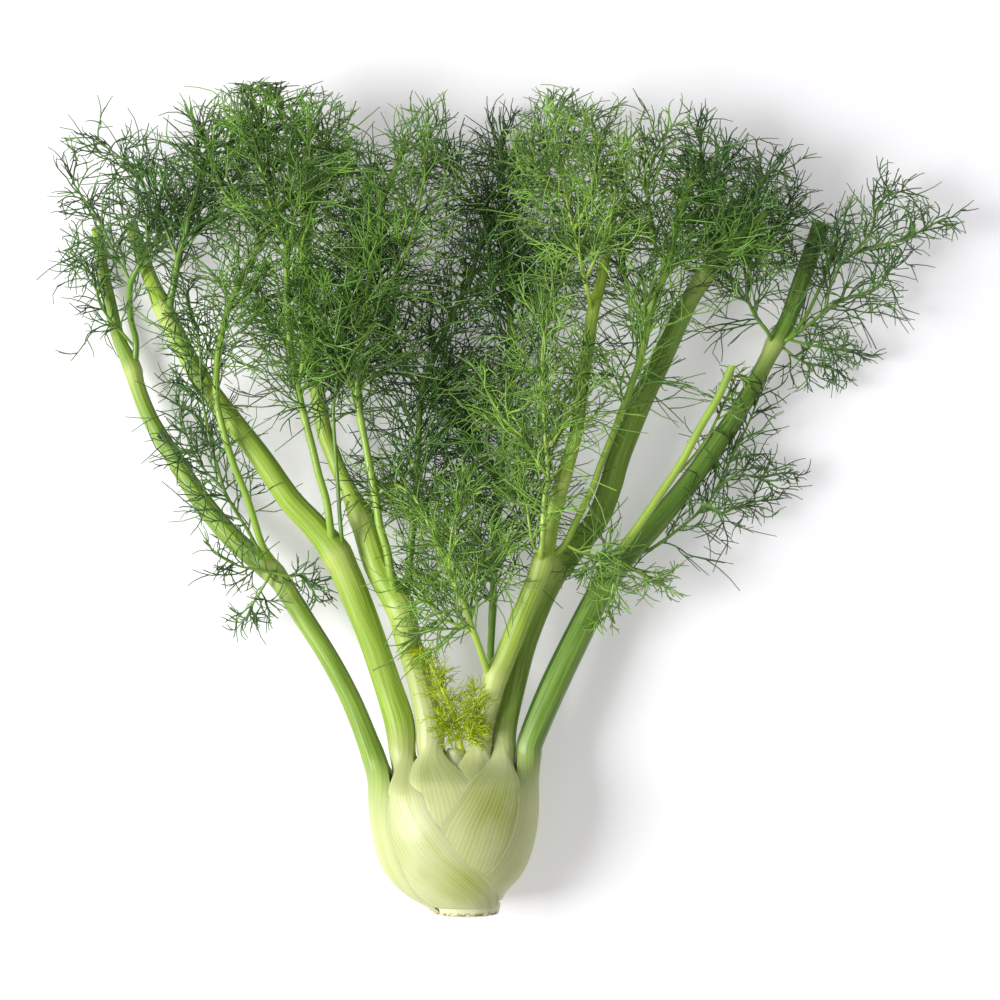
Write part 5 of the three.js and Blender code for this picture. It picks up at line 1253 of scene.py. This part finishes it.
# %% Paint for the leaf flesh
CREAM = (0.52, 0.57, 0.24)
CREAM_WHITE = (0.72, 0.73, 0.46)
FLUSH = (0.30, 0.37, 0.03)
LIGHT_GREEN = (0.26, 0.41, 0.028)
DARK_GREEN = (0.075, 0.18, 0.02)
KNOT_YELLOW = (0.58, 0.66, 0.20)
SCAR_BROWN = (0.30, 0.17, 0.06)
CUT_PALE = (0.50, 0.58, 0.26)
# Round patches of a stronger flush, each with its middle and its radius.
GLOWS = {
    "leaf_second_right": [((22, 14, 64), 26)],
    "leaf_second_left": [((6, -24, 56), 20)],
}


def leaf_paint(name, deep, glows):
    box = PaintBox(name)
    pale, vein, margin = box.attribute("pale"), box.attribute("vein"), box.attribute("margin")
    knot, cut, run, inner, shaded = (box.attribute(key) for key in ("knot", "cut", "run", "inner", "shaded"))
    place = box.place()
    streak = box.noise(box.vector(vein * 1.2, run * 0.02, deep * 9), 1.6, 3)
    fine_streak = box.noise(box.vector(vein * 4.2, run * 0.05, deep * 5), 2.2, 2)
    cloud = box.noise(place, 32, 3)
    ridge = (vein * (4 * math.pi)).maths("COSINE") * 0.5 + 0.5
    fine_ridge = (vein * (10 * math.pi)).maths("COSINE") * 0.5 + 0.5
    line = ridge.ramp(0.6, 1.0) * (1 - pale) + fine_ridge.ramp(0.6, 1.0) * pale
    furrow = ridge.ramp(0.45, 0.0)
    # `deep` darkens the stalk's green: partly the leaf's own colour and partly painted shade on the leaves
    # whose stalks lie in shade.
    stalk = box.mix(deep, LIGHT_GREEN, DARK_GREEN)
    stalk_light = box.mix(deep, (0.45, 0.60, 0.08), (0.17, 0.31, 0.04))
    green = box.mix(streak.ramp(0.35, 0.7), stalk, stalk_light)
    green = box.mix(line * 0.4, green, stalk_light)
    green = box.mix(furrow * 0.25, green, stalk)
    shade = box.mix(min(deep * 1.3, 1), (0.20, 0.30, 0.03), (0.035, 0.085, 0.014))
    green = box.mix(shaded.ramp(0.3, 0.7) * (0.5 + 0.35 * deep), green, shade)
    flush = streak.ramp(0.42, 0.75) * 0.3 + fine_streak.ramp(0.5, 0.75) * 0.2
    for spot, size in glows:
        far = box.node("ShaderNodeVectorMath", {"operation": "DISTANCE"}, (place, [c * MM for c in spot]))
        near = 1 - Value(box, far.outputs["Value"]).ramp(0, size * MM)
        flush = flush + near * 0.75
    flesh = box.mix(flush.clamp(), CREAM, FLUSH)
    flesh = box.mix(cloud.ramp(0.5, 0.75) * 0.4, flesh, CREAM_WHITE)
    flesh = box.mix(line * 0.28, flesh, CREAM_WHITE)
    flesh = box.mix(furrow * 0.05, flesh, FLUSH)
    colour = box.mix(pale, green, flesh)
    colour = box.mix(margin * 0.7, colour, CREAM_WHITE)
    colour = box.mix(inner * 0.8, colour, CREAM_WHITE)
    colour = box.mix(knot * 0.5, colour, KNOT_YELLOW)
    speck = box.noise(place, 700, 2).ramp(0.68, 0.76) * knot.ramp(0.5, 1)
    colour = box.mix(speck * 0.8, colour, SCAR_BROWN)
    drying = box.noise(place, 500, 3).ramp(0.45, 0.7) * 0.5
    cut_face = box.mix(drying, CUT_PALE, (0.45, 0.42, 0.16))
    colour = box.mix(cut.ramp(0.6, 0.95), colour, cut_face)
    relief = ridge * 0.3 + fine_ridge * 0.15 + fine_streak * 0.4 + box.noise(place, 900, 2) * 0.2
    return box.finish(
        Base_Color=colour,
        Roughness=fine_streak * 0.16 + 0.34,
        Normal=box.bump(relief, 0.00018, 0.6),
        Subsurface_Weight=0.12,
        Subsurface_Radius=(0.004, 0.005, 0.0015),
        Subsurface_Scale=1.0,
    )


for leaf, skin in zip(LEAVES, leaf_skins):
    glows = GLOWS.get(leaf["name"], [])
    skin.data.materials.append(leaf_paint(leaf["name"] + "_flesh", leaf["deep"], glows))

# %% [markdown]
# The root end is the oldest part: corky, off-white, with brown arcs where old leaf bases were cut away.

# %% Paint for the root end
def root_paint():
    box = PaintBox("root_end_flesh")
    pale, cut, run = box.attribute("pale"), box.attribute("cut"), box.attribute("run")
    place = box.place()
    cork = box.noise(place, 260, 4)
    colour = box.mix(pale, LIGHT_GREEN, CREAM_WHITE)
    colour = box.mix(cork.ramp(0.4, 0.7) * 0.5, colour, (0.74, 0.68, 0.44))
    near_cut = 1 - (run + 47.5).maths("ABSOLUTE").ramp(0.5, 2.4)
    arcs = box.noise(place, 420, 2).ramp(0.44, 0.52) * near_cut
    colour = box.mix(arcs, colour, SCAR_BROWN)
    plate = box.noise(place, 330, 3).ramp(0.5, 0.66) * cut * 0.7
    colour = box.mix(plate, colour, (0.5, 0.36, 0.16))
    return box.finish(Base_Color=colour, Roughness=0.7, Normal=box.bump(cork, 0.0004, 0.8))


heart_skin.data.materials.append(root_paint())

# %% [markdown]
# Threads and limbs: thin threads run from a deep green to a fresh one and vary from one to the next, and
# limbs are a paler yellow-green, palest at their joints. Each row holds the deep and the fresh colour of the
# threads and the colour of the limbs. The deep colours are nearly black: partly the threads' own deep green
# and partly painted shade for threads that lie deep in the mass. The dark rows go to the fronds that lie
# lower or further out and are partly painted shade; the bright rows go to the top fronds and are partly
# painted light.

# %% Paint for the fronds
FROND_COLOURS = {
    DARK_AND_SHADED: ((0.005, 0.024, 0.005), (0.15, 0.34, 0.055), (0.17, 0.31, 0.035)),
    MID: ((0.008, 0.036, 0.006), (0.29, 0.57, 0.080), (0.33, 0.50, 0.06)),
    BRIGHT_AND_LIT: ((0.016, 0.062, 0.008), (0.41, 0.72, 0.110), (0.44, 0.60, 0.08)),
    YOUNG: ((0.26, 0.40, 0.010), (0.62, 0.72, 0.03), (0.60, 0.66, 0.06)),
}


def frond_paint(shade):
    dark, light, limb_green = FROND_COLOURS[shade]
    box = PaintBox("frond_" + str(shade))
    tone, fresh, girth = (box.attribute(name) for name in ("tone", "fresh", "girth"))
    place = box.place()
    cloud = box.noise(place, 45, 2)
    share = tone * 0.7 + cloud.ramp(0.35, 0.65) * 0.3
    # The deep end of each range is partly painted shade, and the fresh end partly painted light.
    colour = box.mix(share, dark, light)
    colour = box.mix(fresh.ramp(0.15, 0.8), colour, limb_green)
    fibre = box.noise(place, 1400, 2)
    return box.finish(
        Base_Color=colour, Roughness=0.3, Normal=box.bump(fibre * girth, 0.0002, 0.4)
    )


frond_paints = {shade: frond_paint(shade) for shade in SLOTS}
for piece, shade in frond_pieces.values():
    piece.data.materials.append(frond_paints[shade])

# %% [markdown]
# Soft studio light: a large softbox on the left, so shadows fall to the right, and an even white room that
# keeps the shadows light.

# %% Lights
room = bpy.data.worlds.new("white_room")
room.use_nodes = True
room.node_tree.nodes["Background"].inputs["Color"].default_value = (1, 1, 1, 1)
room.node_tree.nodes["Background"].inputs["Strength"].default_value = 0.42
scene.world = room


def softbox(name, size, power, place, aim):
    light = bpy.data.lights.new(name, "AREA")
    light.shape = "SQUARE"
    light.size = size
    light.energy = power
    lamp = bpy.data.objects.new(name, light)
    lamp.location = place
    lamp.rotation_euler = (Vector(aim) - Vector(place)).to_track_quat("-Z", "Y").to_euler()
    scene.collection.objects.link(lamp)
    return lamp


softbox("key_softbox", 1.3, 104, (-2.2, -0.02, 1.95), (0.02, 0.16, 0.03))
scene.view_settings.view_transform = "Standard"
print("lights ready")
